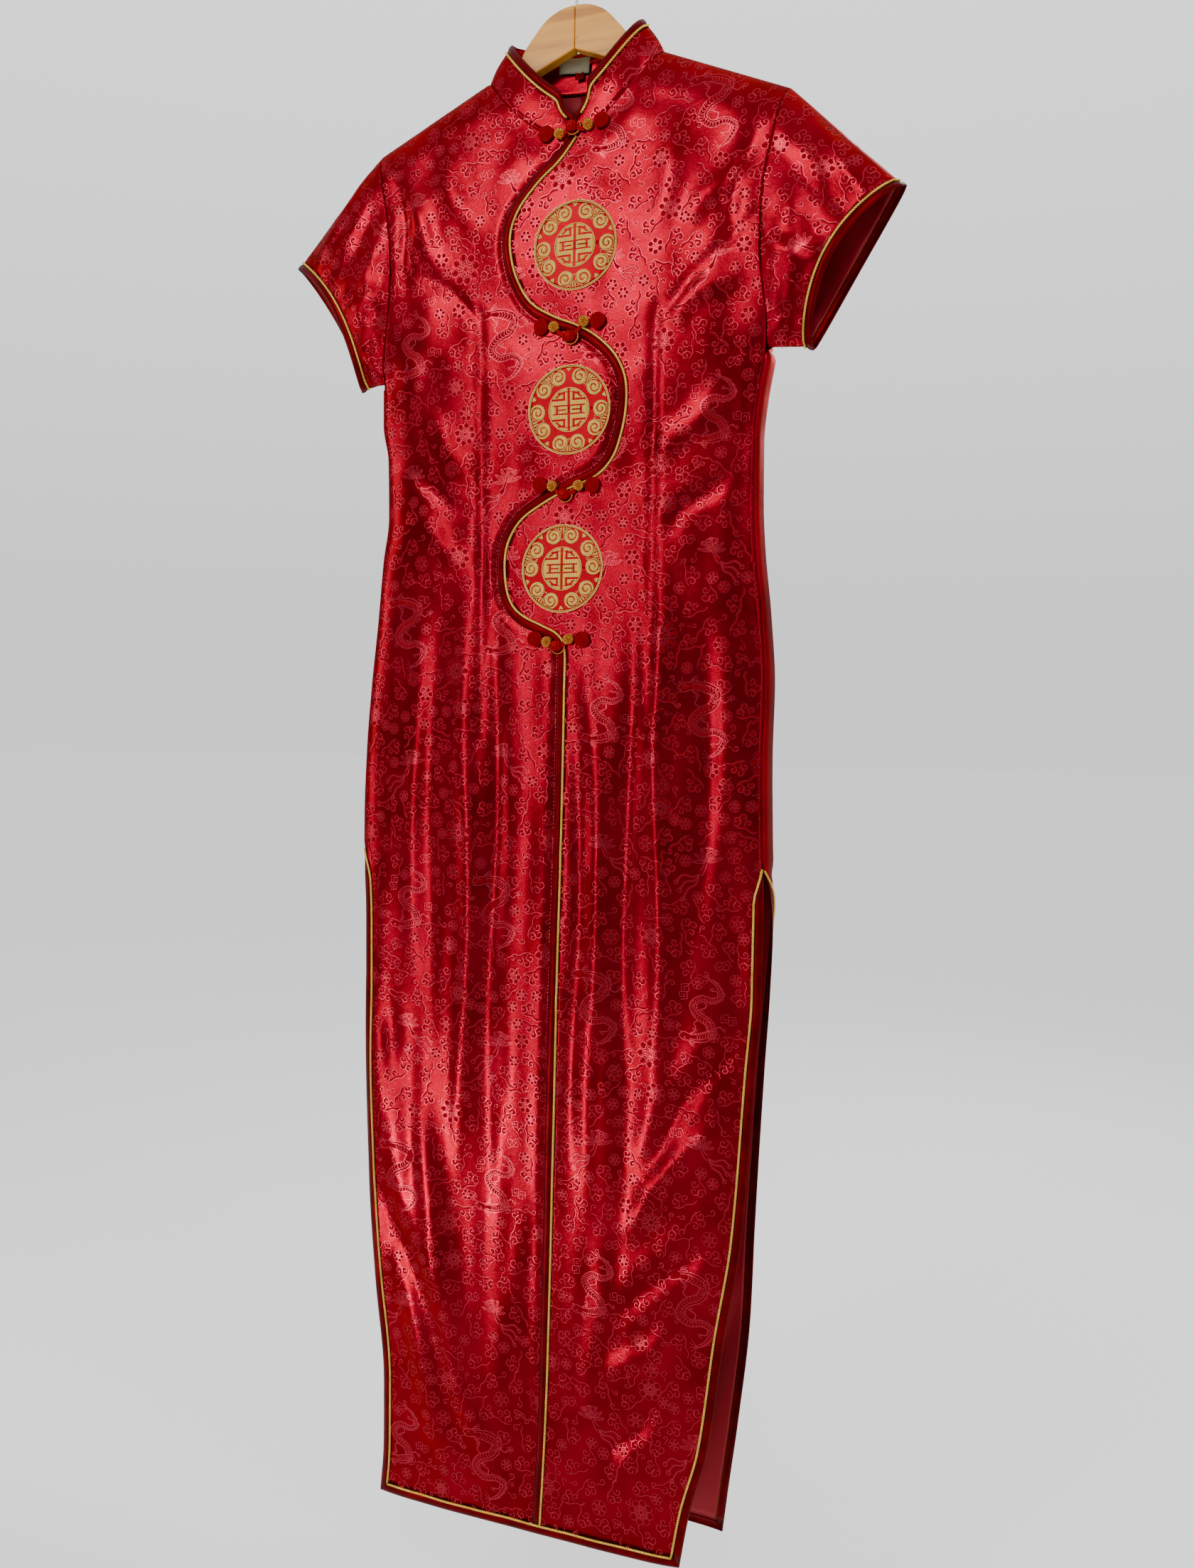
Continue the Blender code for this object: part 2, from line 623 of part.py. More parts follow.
def cuff_loop(sign, beyond=0.0):
    """The cuff's gold line, in the same order as the armhole loop."""
    count = len(ARMHOLE_DROPS)
    top = Vector(CUFF_TOP)
    along = Vector(CUFF_UNDER) - top
    across = Vector((-along.y, along.x)).normalized()
    loop = []
    for k in range(2 * count):
        front = k <= count
        t = k / count if front else (2 * count - k) / count
        arch = math.sin(math.pi * t)
        bow = (CUFF_BOW_FRONT if front else CUFF_BOW_BACK) * max(arch, 0.0) ** 0.8
        level = (CUFF_FRONT_Y if front else CUFF_BACK_Y) * max(arch, 0.0) ** 0.5
        flat = top + along * t + across * (bow - beyond)
        loop.append(to_world(sign * flat.x, level, flat.y))
    return loop


def sleeve(name, sign):
    start = armhole_loop(sign)
    end = cuff_loop(sign)
    rings = []
    for ring in range(SLEEVE_RINGS):
        t = ring / (SLEEVE_RINGS - 1)
        line = [a.lerp(b, t) for a, b in zip(start, end)]
        for point in line:
            point.y *= 1.0 + 0.22 * math.sin(math.pi * t)
        rings.append(line)
    ring_wall("sleeve_" + name, rings, "brocade")


def cuff_trim(name, sign):
    near = cuff_loop(sign, beyond=SEAM)
    far = cuff_loop(sign, beyond=BINDING)
    ring_wall("cuff_binding_" + name, [near, far], "satin")
    ring = cuff_loop(sign)
    axis = far[0] - near[0]
    middle = sum(ring, Vector()) / len(ring)
    cord = []
    for k, place in enumerate(ring):
        out = (ring[(k + 1) % len(ring)] - ring[k - 1]).cross(axis).normalized()
        if out.dot(place - middle) < 0.0:
            out.negate()
        cord.append(place + out * CUFF_CORD_OUT)
    tube("cuff_piping_" + name, cord, PIPING_R, "gold_cord", True)


def edge_trim(rows):
    """Binding of the wavy edge, which lies on the under panel, and the cord over its joint."""
    pairs = []
    cord = []
    low = rows[-1][1] - SEAM
    for x, drop, nx, nd in rows[2:]:
        near = front_frame(x - nx * SEAM, min(drop - nd * SEAM, low))
        far = front_frame(x - nx * BINDING, min(drop - nd * BINDING, low))
        pairs.append([both_faces(*near, BINDING_PROUD, CLOTH), both_faces(*far, BINDING_PROUD, CLOTH)])
        cord.append(front_point(x, drop, PIPING_R + SEAM + BINDING_PROUD))
    cord[-1].z += 3.0 * SEAM + PIPING_R
    wall("edge_binding", pairs, "satin")
    tube("edge_piping", cord, PIPING_R, "gold_cord")


def front_slit_trim(name, sign, rows):
    """Binding and piping of one front slit edge, mitred at the hem."""
    column = "front_" + name
    pairs = []
    cord = []
    for row in rows:
        drop, inner = side_place(rows, row, column)
        if drop < SLIT_TOP + 0.005:
            continue
        tip = drop
        if row is rows[-1]:
            tip = FRONT_HEM - SEAM
        near = front_frame(sign * (inner + 1.5 * SEAM), drop)
        far = front_frame(sign * side(column, tip), tip)
        pairs.append([both_faces(*near, BINDING_PROUD, CLOTH), both_faces(*far, BINDING_PROUD, CLOTH)])
        cord.append(front_point(sign * inner, drop, PIPING_R + SEAM + BINDING_PROUD))
    cord[-1].z += 3.0 * SEAM + PIPING_R
    wall("binding_front_slit_" + name, pairs, "satin")
    tube("piping_front_slit_" + name, cord, PIPING_R, "gold_cord")


def front_hem_trim(rows):
    """Binding and piping of the front hem, between the two mitres."""
    corner = rows[-1][1]
    left = side_place(rows, rows[-1], "front_left")[1]
    right = -side_place(rows, rows[-1], "front_right")[1]
    left_tip = side("front_left", FRONT_HEM) - SEAM * 3.0
    right_tip = -(side("front_right", FRONT_HEM) - SEAM * 3.0)
    count = 14
    pairs = []
    cord = []
    for k in range(count + 1):
        x_top = mix(right, left, k / count)
        x_low = mix(right_tip, left_tip, k / count)
        top = front_frame(x_top, corner + 2.0 * SEAM)
        low = front_frame(x_low, FRONT_HEM)
        pairs.append([both_faces(*top, BINDING_PROUD, CLOTH), both_faces(*low, BINDING_PROUD, CLOTH)])
        cord.append(front_point(x_top, corner + SEAM, PIPING_R + SEAM + BINDING_PROUD))
    wall("binding_front_hem", pairs, "satin")
    tube("piping_front_hem", cord, PIPING_R, "gold_cord")


def back_slit_trim(name):
    column = "back_" + name
    pairs = []
    cord = []
    hem_level = BACK_HEM - BINDING - NECK_BACK
    for level in BACK_SLIT_LEVELS + (hem_level,):
        inset = slit_inset(level + NECK_BACK)
        if inset < 4.0 * SEAM:
            continue
        tip = BACK_HEM - NECK_BACK - SEAM if level == hem_level else level
        near = back_frame(level, column, from_edge=inset - SEAM)
        far = back_frame(tip, column, from_edge=0.0)
        pairs.append([both_faces(*near, BINDING_PROUD, CLOTH), both_faces(*far, BINDING_PROUD, CLOTH)])
        place, normal = back_frame(level, column, from_edge=inset)
        cord.append(place + normal * (PIPING_R + SEAM + BINDING_PROUD))
    cord[-1].z += 3.0 * SEAM + PIPING_R
    wall("binding_back_slit_" + name, pairs, "satin")
    tube("piping_back_slit_" + name, cord, PIPING_R, "gold_cord")


def back_hem_trim():
    """Binding and piping of the back hem, across both back panels."""
    corner = BACK_HEM - BINDING - NECK_BACK + 2.0 * SEAM
    end = BACK_HEM - NECK_BACK
    shares = (0.0, 0.25, 0.52, 0.78)
    pairs = []
    cord = []
    for column in ("back_right", "back_left"):
        half = []
        for share in shares:
            half.append((back_frame(corner, column, share=share), back_frame(end, column, share=share)))
        for away in (0.020, 0.0):
            half.append((back_frame(corner, column, from_edge=BINDING + away),
                         back_frame(end, column, from_edge=3.0 * SEAM + away)))
        if column == "back_right":
            half.reverse()
        else:
            half = half[1:]
        for top, low in half:
            pairs.append([both_faces(*top, BINDING_PROUD, CLOTH), both_faces(*low, BINDING_PROUD, CLOTH)])
            cord.append(top[0] + top[1] * (PIPING_R + SEAM + BINDING_PROUD))
    wall("binding_back_hem", pairs, "satin")
    tube("piping_back_hem", cord, PIPING_R, "gold_cord")


def neck_base(x, back):
    """Place on the neck edge, along the straight stretches between the panels' columns."""
    xs = NECK_BACK_XS if back else NECK_FRONT_XS
    depth = NECK_BACK if back else NECK_FRONT
    i = max(j for j in range(len(xs) - 1) if xs[j] <= abs(x) + 1e-9)
    t = (abs(x) - xs[i]) / (xs[i + 1] - xs[i])
    ends = []
    for at in (xs[i], xs[i + 1]):
        drop = neck_drop(at, depth)
        rise = shoulder_rise(drop)
        y = side("back_depth", drop) * rise if back else -side("front_depth", drop) * rise
        ends.append(to_world(at, y, drop))
    base = ends[0].lerp(ends[1], t)
    return Vector((math.copysign(base.x, x), base.y, base.z + COLLAR_GAP))


def collar_side(sign, first_xs):
    """Base, upward direction and height at stations from one front end to the centre back."""
    out = []
    run = 0.0
    before = None
    for x in first_xs + tuple(sign * x for x in COLLAR_FRONT_XS):
        base = neck_base(x, False)
        run += (base - before).length if before is not None else 0.0
        before = base
        share = max(1.0 - run / COLLAR_ROUND, 0.0)
        lean = mix(0.0, COLLAR_LEAN, smoothstep((run - 0.006) / 0.034))
        up = Vector((-sign * lean, 0.0, math.sqrt(1.0 - lean * lean)))
        out.append((base, up, COLLAR_H * (1.0 - 0.52 * share ** 2.2), run))
    for x in COLLAR_BACK_XS:
        lean = COLLAR_LEAN * (x / NECK_HALF) ** 1.5
        up = Vector((-sign * lean, 0.0, math.sqrt(1.0 - lean * lean)))
        out.append((neck_base(sign * x, True), up, COLLAR_H, 1.0))
    return out


def collar():
    right = collar_side(-1.0, (COLLAR_MEET - SEAM, -0.0030))
    left = collar_side(1.0, (COLLAR_MEET + SEAM,))
    stations = right + list(reversed(left))[1:]
    band = []
    binding = []
    cord = []
    for k, (base, up, height, run) in enumerate(stations):
        before = stations[max(k - 1, 0)][0]
        after = stations[min(k + 1, len(stations) - 1)][0]
        normal = up.cross(after - before).normalized()
        strip = min(BINDING, 0.45 * height)
        places = [base + up * (height - strip) * share for share in (0.0, 0.5, 1.0)]
        band.append([both_faces(place, normal, 0.0, COLLAR_WALL) for place in places])
        low = base + up * (height - strip + SEAM)
        top = base + up * height
        binding.append([both_faces(low, normal, 0.0, COLLAR_WALL), both_faces(top, normal, 0.0, COLLAR_WALL)])
        if run > 0.011:
            cord.append(places[2] + normal * (PIPING_R + SEAM))
    wall("collar", band, "brocade")
    wall("collar_binding", binding, "satin")
    tube("collar_piping", cord, PIPING_R, "gold_cord")


def place_on_front(made, x, drop, height):
    """Turn a piece's own Z axis to the panel's normal and set it at a height above the panel."""
    foot, normal = front_frame(x, drop)
    made.rotation_mode = "QUATERNION"
    made.rotation_quaternion = Vector((0, 0, 1)).rotation_difference(normal)
    made.location = foot + normal * height


def edge_distance(x, drop, rows):
    best = 1.0
    for a, b in zip(rows, rows[1:]):
        start = Vector((a[0], a[1]))
        along = Vector((b[0], b[1])) - start
        reach = Vector((x, drop)) - start
        t = min(max(reach.dot(along) / along.length_squared, 0.0), 1.0)
        best = min(best, (reach - along * t).length)
    return best


def coil(name, x, drop, radius, slot, segments, rows):
    """A low round coil. One that lies over the gold cord is seated on top of the cord."""
    mesh = bpy.data.meshes.new(name)
    work = bmesh.new()
    bmesh.ops.create_cone(work, cap_ends=True, segments=segments, radius1=radius,
                          radius2=radius * 0.84, depth=COIL_H)
    work.to_mesh(mesh)
    work.free()
    over_cord = drop > 0.07 and edge_distance(x, drop, rows) < radius + PIPING_R + SEAM
    seat = COIL_SEAT_ON_CORD if over_cord else COIL_SEAT
    place_on_front(add_object(name, mesh, slot), x, drop, seat + COIL_H / 2.0)


def frogs(rows):
    for number, frog in enumerate(FROGS, start=1):
        row = dict(zip(FROG_COLUMNS, frog))
        tag = "frog_%d_" % number
        mesh = bpy.data.meshes.new(tag + "knot")
        work = bmesh.new()
        bmesh.ops.create_uvsphere(work, u_segments=10, v_segments=7, radius=KNOT_R)
        work.to_mesh(mesh)
        work.free()
        mesh.shade_smooth()
        knot = add_object(tag + "knot", mesh, "red_cord")
        knot.scale = (1.1, 1.0, 0.75)
        place_on_front(knot, row["x"], row["drop"], row["knot_seat"] + KNOT_R * 0.75)
        for hand in ("right", "left"):
            for kind, radius, slot, segments in (("gold", GOLD_COIL_R, "gold_cord", 12),
                                                 ("red", RED_COIL_R, "red_cord", 14)):
                x = row["x"] + row[kind + "_" + hand + "_x"]
                drop = row["drop"] - row[kind + "_" + hand + "_up"]
                coil(tag + kind + "_" + hand, x, drop, radius, slot, segments, rows)


def medallion(number, x_mid, drop_mid):
    """A roundel that follows the panel's own points, moved out."""
    segments = 24
    rings = (0.4, 0.75, 1.0)
    name = "medallion_%d" % number
    mesh = bpy.data.meshes.new(name)
    work = bmesh.new()

    def place(x, drop):
        return work.verts.new(front_point(x, drop, SEAM + MEDALLION_H))

    hub = place(x_mid, drop_mid)
    loops = []
    for ring in rings:
        turns = [2.0 * math.pi * k / segments for k in range(segments)]
        loops.append([place(x_mid + MEDALLION_R * ring * math.cos(a),
                            drop_mid + MEDALLION_R * ring * math.sin(a)) for a in turns])
    for k in range(segments):
        n = (k + 1) % segments
        work.faces.new((hub, loops[0][k], loops[0][n]))
        for inner, outer in zip(loops, loops[1:]):
            work.faces.new((inner[k], outer[k], outer[n], inner[n]))
    bmesh.ops.recalc_face_normals(work, faces=work.faces)
    work.to_mesh(mesh)
    work.free()
    if mesh.polygons[0].normal.y > 0.0:
        mesh.flip_normals()
    solid = add_object(name, mesh, "gold_thread").modifiers.new("thread", "SOLIDIFY")
    solid.thickness = MEDALLION_H
    solid.offset = -1.0


def hanger_half(name, sign):
    """One wooden half: its hump, its arm under the shoulder and its lower edge."""
    slope = SHOULDER_DROP / (SHOULDER_X - NECK_HALF)

    def arm_z(x):
        return -(x - NECK_HALF) * slope - WOOD_UNDER_SHOULDER

    outline = list(WOOD_TOP) + [
        (0.12, arm_z(0.12)), (WOOD_END_X, arm_z(WOOD_END_X)),
        (WOOD_END_X + 0.004, arm_z(WOOD_END_X) - 0.005),
        (WOOD_END_X + 0.004, arm_z(WOOD_END_X) - 0.018),
        (WOOD_END_X - 0.004, arm_z(WOOD_END_X) - WOOD_DEPTH + 0.002),
        (0.12, arm_z(0.12) - WOOD_DEPTH),
        (0.06, WOOD_V_Z - 0.06 * WOOD_V_SLOPE - 0.002), (0.0002, WOOD_V_Z)]
    work = bmesh.new()
    verts = [work.verts.new((sign * x, -WOOD_T / 2.0, NECK_Z + z)) for x, z in outline]
    grown = bmesh.ops.extrude_face_region(work, geom=[work.faces.new(verts)])
    moved = [v for v in grown["geom"] if isinstance(v, bmesh.types.BMVert)]
    bmesh.ops.translate(work, vec=(0.0, WOOD_T, 0.0), verts=moved)
    bmesh.ops.recalc_face_normals(work, faces=work.faces)
    mesh = bpy.data.meshes.new(name)
    work.to_mesh(mesh)
    work.free()
    bevel = add_object("hanger_" + name, mesh, "wood").modifiers.new("round", "BEVEL")
    bevel.width = 0.0022
    bevel.segments = 2
    bevel.limit_method = "ANGLE"
    bevel.angle_limit = math.radians(60.0)


def hanger_hook():
    """Bent wire: a straight neck, a bend to one side and the bow over the rail."""
    bow_z = HOOK_WIRE_R - HOOK_BOW_R
    points = [Vector((0.0, 0.0, NECK_Z + 0.0548)), Vector((0.0, 0.0, -0.0510)),
              Vector((0.0035, 0.0, -0.0460)), Vector((0.0085, 0.0, -0.0418))]
    steps = 16
    for k in range(steps + 1):
        turn = math.radians(mix(-52.0, 205.0, k / steps))
        points.append(Vector((HOOK_BOW_R * math.cos(turn), 0.0, bow_z + HOOK_BOW_R * math.sin(turn))))
    tube("hanger_hook", points, HOOK_WIRE_R, "steel", resolution=2)


def neck_label():
    """Blank label on the inside of the back collar, with a small tab below it."""
    base = neck_base(0.0, True)
    y = base.y - COLLAR_WALL - LABEL_OFF
    for name, place, size, slot in (("neck_label", LABEL_PLACE, LABEL_SIZE, "label"),
                                    ("label_tab", TAB_PLACE, TAB_SIZE, "satin")):
        mesh = bpy.data.meshes.new(name)
        work = bmesh.new()
        bmesh.ops.create_cube(work, size=1.0)
        bmesh.ops.scale(work, vec=(size[0], LABEL_T, size[1]), verts=work.verts)
        work.to_mesh(mesh)
        work.free()
        add_object(name, mesh, slot).location = (place[0], y, base.z + place[1])


def main():
    clear_scene()
    parts = bpy.data.collections.new(NAME)
    bpy.context.scene.collection.children.link(parts)
    rows = edge_rows()
    front_left_panel(rows)
    front_right_panel(rows)
    for name, sign in (("left", 1.0), ("right", -1.0)):
        back_panel("back_" + name)
        sleeve(name, sign)
        cuff_trim(name, sign)
        front_slit_trim(name, sign, rows)
        back_slit_trim(name)
        hanger_half(name, sign)
    front_hem_trim(rows)
    back_hem_trim()
    edge_trim(rows)
    collar()
    frogs(rows)
    for number, (x, drop) in enumerate(MEDALLIONS, start=1):
        medallion(number, x, drop)
    hanger_hook()
    neck_label()


main()
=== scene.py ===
"""Looks of the cheongsam dress: fine cloth shells, woven motifs, embroidery, cords and finishes."""

import math

import bmesh
import bpy
import numpy as np
from mathutils import Matrix, Vector
from mathutils.bvhtree import BVHTree


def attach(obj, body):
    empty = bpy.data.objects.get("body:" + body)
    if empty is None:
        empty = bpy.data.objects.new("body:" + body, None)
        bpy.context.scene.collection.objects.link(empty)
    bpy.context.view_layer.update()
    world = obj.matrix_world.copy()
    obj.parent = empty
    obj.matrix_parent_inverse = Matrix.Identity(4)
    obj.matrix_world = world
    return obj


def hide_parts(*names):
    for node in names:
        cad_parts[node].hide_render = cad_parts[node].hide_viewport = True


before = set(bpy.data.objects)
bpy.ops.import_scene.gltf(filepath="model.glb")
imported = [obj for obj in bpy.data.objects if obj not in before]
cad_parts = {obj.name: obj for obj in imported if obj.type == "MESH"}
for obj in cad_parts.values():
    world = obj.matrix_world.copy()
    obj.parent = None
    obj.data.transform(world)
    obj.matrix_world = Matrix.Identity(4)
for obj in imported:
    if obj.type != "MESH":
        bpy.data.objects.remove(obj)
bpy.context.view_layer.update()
rng = np.random.default_rng(11)

# Sizes and tables that the solids share, in metres
NECK_Z = -0.115
SEAM = 0.0003
POWER = 5.0
NECK_HALF = 0.0855
NECK_FRONT = 0.068
NECK_BACK = 0.018
NECK_CURVE = 1.7
SHOULDER_X = 0.2004
SHOULDER_DROP = 0.0504
SHOULDER_ROUND = 0.040
SHOULDER_SLOPE = SHOULDER_DROP / (SHOULDER_X - NECK_HALF)
SHOULDER_HALF_GAP = 0.0004
SIDE_SEAM = 0.0002
UNDERARM = 0.274
SLIT_TOP = 0.715
FRONT_HEM = 1.351
BACK_HEM = 1.346
BINDING = 0.0085
PIPING_R = 0.0011
UNDERLAP = 0.012
COLLAR_H = 0.038
COLLAR_GAP = 0.0006
COLLAR_MEET = 0.0065
COLLAR_ROUND = 0.045
COLLAR_LEAN = 0.56
HANGER_THICK = 0.0105
CLOTH_THICK = 0.0008
TUCK = 3.0 * SEAM
STITCH_PITCH = 0.0034
FRONT = (0, -1, 0)
BACK = (0, 1, 0)
FULL_TURN = 2.0 * math.pi

SIDE_COLUMNS = ("drop", "front_right", "front_left", "back_right", "back_left",
                "front_depth", "back_depth", "front_turn", "back_turn")
SIDE_ROWS = (
    (0.050, 0.2004, 0.2004, 0.2004, 0.2004, 0.0180, 0.0175, 0.97, 0.97),
    (0.100, 0.1880, 0.1880, 0.1880, 0.1880, 0.0205, 0.0190, 0.97, 0.97),
    (0.145, 0.1812, 0.1812, 0.1812, 0.1812, 0.0220, 0.0205, 0.97, 0.97),
    (0.185, 0.1808, 0.1808, 0.1808, 0.1808, 0.0230, 0.0215, 0.97, 0.96),
    (0.222, 0.1845, 0.1842, 0.1845, 0.1842, 0.0235, 0.0220, 0.94, 0.90),
    (0.250, 0.1888, 0.1872, 0.1888, 0.1872, 0.0235, 0.0225, 0.84, 0.55),
    (0.268, 0.1902, 0.1866, 0.1902, 0.1866, 0.0235, 0.0225, 0.70, 0.05),
    (0.274, 0.1905, 0.1860, 0.1905, 0.1860, 0.0235, 0.0225, 0.63, -0.63),
    (0.310, 0.1905, 0.1800, 0.1905, 0.1800, 0.0230, 0.0220, 0.63, -0.63),
    (0.345, 0.1850, 0.1768, 0.1850, 0.1768, 0.0225, 0.0220, 0.63, -0.63),
    (0.400, 0.1842, 0.1772, 0.1842, 0.1772, 0.0225, 0.0225, 0.63, -0.63),
    (0.440, 0.1895, 0.1795, 0.1895, 0.1795, 0.0230, 0.0230, 0.63, -0.63),
    (0.500, 0.1950, 0.1860, 0.1950, 0.1860, 0.0235, 0.0240, 0.63, -0.63),
    (0.560, 0.2015, 0.1900, 0.2015, 0.1900, 0.0240, 0.0250, 0.63, -0.63),
    (0.620, 0.2065, 0.1890, 0.2065, 0.1890, 0.0240, 0.0260, 0.63, -0.63),
    (0.690, 0.2090, 0.1905, 0.2090, 0.1905, 0.0240, 0.0260, 0.63, -0.63),
    (0.715, 0.2090, 0.1915, 0.2090, 0.1915, 0.0240, 0.0260, 0.63, -0.63),
    (0.740, 0.2080, 0.1945, 0.2110, 0.1960, 0.0242, 0.0260, 0.74, -0.10),
    (0.775, 0.2055, 0.1950, 0.2110, 0.1962, 0.0245, 0.0265, 0.80, 0.35),
    (0.830, 0.2045, 0.1950, 0.2080, 0.1940, 0.0250, 0.0270, 0.82, 0.50),
    (0.905, 0.2030, 0.1900, 0.2020, 0.1890, 0.0260, 0.0280, 0.82, 0.62),
    (1.048, 0.1970, 0.1810, 0.1930, 0.1815, 0.0280, 0.0300, 0.84, 0.75),
    (1.136, 0.1885, 0.1680, 0.1890, 0.1780, 0.0300, 0.0320, 0.85, 0.80),
    (1.240, 0.1770, 0.1550, 0.1780, 0.1670, 0.0320, 0.0340, 0.86, 0.84),
    (1.300, 0.1765, 0.1395, 0.1730, 0.1590, 0.0330, 0.0355, 0.86, 0.86),
    (1.351, 0.1792, 0.1310, 0.1700, 0.1530, 0.0340, 0.0360, 0.86, 0.86),
)
EDGE_POINTS = (
    (0.0120, 0.0656), (-0.0060, 0.0885), (-0.0260, 0.1055), (-0.0440, 0.1265),
    (-0.0530, 0.1480), (-0.0522, 0.1700), (-0.0450, 0.1930), (-0.0320, 0.2130),
    (-0.0100, 0.2270), (0.0130, 0.2370), (0.0330, 0.2490), (0.0510, 0.2670),
    (0.0610, 0.2880), (0.0618, 0.3110), (0.0574, 0.3366), (0.0490, 0.3580),
    (0.0330, 0.3730), (0.0050, 0.3835), (-0.0190, 0.3950), (-0.0390, 0.4080),
    (-0.0510, 0.4250), (-0.0560, 0.4440), (-0.0545, 0.4690), (-0.0480, 0.4860),
    (-0.0360, 0.4970), (-0.0170, 0.5060), (-0.0010, 0.5145), (0.0060, 0.5290),
    (0.0060, 0.5700), (0.0052, 0.6900), (0.0030, 0.8400), (0.0015, 1.0000),
    (0.0010, 1.1200), (-0.0005, 1.2500), (-0.0040, 1.3425),
)
FRONT_FOLDS = (
    (-0.094, 0.46, -0.092, 0.98, 0.020, 0.0022),
    (-0.032, 0.56, -0.038, 1.02, 0.020, 0.0020),
    (0.036, 0.50, 0.038, 1.00, 0.020, 0.0022),
    (0.104, 0.46, 0.100, 0.92, 0.022, 0.0026),
    (-0.200, 0.84, -0.100, 1.26, 0.026, 0.0055),
    (-0.165, 1.02, -0.070, 1.30, 0.022, 0.0035),
    (0.180, 0.84, 0.075, 1.02, 0.022, 0.0040),
    (0.155, 1.02, 0.060, 1.16, 0.024, 0.0040),
)
BACK_FOLDS = (
    (-0.110, 0.50, -0.105, 1.10, 0.024, 0.0024),
    (-0.040, 0.56, -0.046, 1.05, 0.022, 0.0020),
    (0.046, 0.52, 0.050, 1.08, 0.022, 0.0022),
    (0.112, 0.50, 0.104, 0.96, 0.024, 0.0026),
    (0.185, 0.86, 0.080, 1.14, 0.026, 0.0045),
    (-0.185, 0.90, -0.085, 1.20, 0.026, 0.0045),
)
CUFF_TOP = (0.2930, 0.1405)
CUFF_UNDER = (0.2170, 0.2695)
CUFF_BOW_FRONT = 0.020
CUFF_BOW_BACK = 0.004
CUFF_FRONT_Y = -0.022
CUFF_BACK_Y = 0.016
ARMHOLE_DROPS = (0.0504, 0.060, 0.080, 0.108, 0.140, 0.175, 0.208, 0.236, 0.256, 0.268)
UNDERARM_LIFT = 0.0040
ARMHOLE_GAP = 0.0004
FROG_COLUMNS = ("x", "drop", "knot_seat", "gold_right_x", "gold_right_up", "red_right_x",
                "red_right_up", "gold_left_x", "gold_left_up", "red_left_x", "red_left_up")
FROGS = (
    (0.0055, 0.0610, 0.0004, -0.0128, -0.0042, -0.0255, -0.0020, 0.0152, -0.0002, 0.0285, 0.0017),
    (0.0075, 0.2474, 0.0000, -0.0165, 0.0101, -0.0292, 0.0118, 0.0140, 0.0116, 0.0268, 0.0119),
    (0.0035, 0.3878, 0.0024, -0.0122, 0.0079, -0.0247, 0.0099, 0.0146, 0.0066, 0.0275, 0.0072),
    (-0.0014, 0.5248, 0.0008, -0.0102, 0.0037, -0.0224, 0.0064, 0.0125, 0.0058, 0.0250, 0.0062),
)
RED_COIL_R = 0.0079
GOLD_COIL_R = 0.0055
MEDALLIONS = ((0.0104, 0.1663, False), (0.0068, 0.3121, False), (0.0016, 0.4545, True))
MEDALLION_R = 0.0402

# Creases that only show from near: x and drop at both ends, half width, height (troughs below zero)
FINE_FRONT = (
    (-0.175, 0.075, -0.158, 0.190, 0.0070, -0.0026),
    (-0.168, 0.100, -0.120, 0.175, 0.0090, 0.0022),
    (-0.130, 0.060, -0.090, 0.150, 0.0110, 0.0020),
    (0.172, 0.080, 0.150, 0.185, 0.0080, -0.0026),
    (0.165, 0.110, 0.110, 0.165, 0.0100, 0.0022),
    (0.110, 0.060, 0.085, 0.170, 0.0110, 0.0018),
    (-0.150, 0.300, -0.075, 0.380, 0.0110, 0.0022),
    (-0.165, 0.360, -0.090, 0.400, 0.0090, -0.0018),
    (-0.160, 0.400, -0.085, 0.450, 0.0090, 0.0018),
    (0.150, 0.300, 0.085, 0.370, 0.0110, 0.0022),
    (0.160, 0.370, 0.095, 0.430, 0.0090, -0.0018),
    (0.165, 0.200, 0.100, 0.240, 0.0100, 0.0018),
    (-0.064, 0.48, -0.066, 1.02, 0.0100, -0.0038),
    (-0.092, 0.48, -0.096, 1.04, 0.0090, 0.0032),
    (0.022, 0.54, 0.018, 1.02, 0.0090, -0.0030),
    (0.070, 0.48, 0.068, 1.04, 0.0100, -0.0040),
    (0.038, 0.56, 0.040, 1.10, 0.0080, 0.0020),
    (0.100, 0.46, 0.098, 1.00, 0.0090, 0.0032),
    (-0.128, 0.48, -0.130, 0.94, 0.0110, -0.0026),
    (0.138, 0.48, 0.136, 0.88, 0.0110, -0.0026),
    (-0.150, 0.48, -0.150, 0.88, 0.0080, 0.0018),
    (-0.185, 0.84, -0.120, 1.12, 0.0150, -0.0052),
    (-0.170, 0.90, -0.085, 1.20, 0.0150, 0.0056),
    (-0.180, 1.04, -0.085, 1.27, 0.0140, -0.0052),
    (-0.165, 1.10, -0.095, 1.32, 0.0150, 0.0056),
    (-0.110, 1.18, -0.045, 1.33, 0.0120, 0.0036),
    (0.175, 0.86, 0.085, 1.00, 0.0110, -0.0052),
    (0.165, 0.93, 0.070, 1.06, 0.0110, 0.0048),
    (0.155, 1.04, 0.065, 1.14, 0.0110, -0.0052),
    (0.135, 1.12, 0.055, 1.20, 0.0120, 0.0044),
    (0.120, 1.19, 0.050, 1.27, 0.0110, -0.0036),
    (0.100, 1.24, 0.050, 1.32, 0.0100, 0.0020),
    (0.048, 1.05, 0.045, 1.28, 0.0100, 0.0024),
    (-0.040, 1.06, -0.045, 1.30, 0.0110, 0.0024),
    (-0.018, 1.02, -0.020, 1.30, 0.0090, -0.0018),
    (0.000, 0.70, 0.040, 0.74, 0.0060, 0.0010),
    (0.000, 0.84, 0.035, 0.88, 0.0060, 0.0010),
)
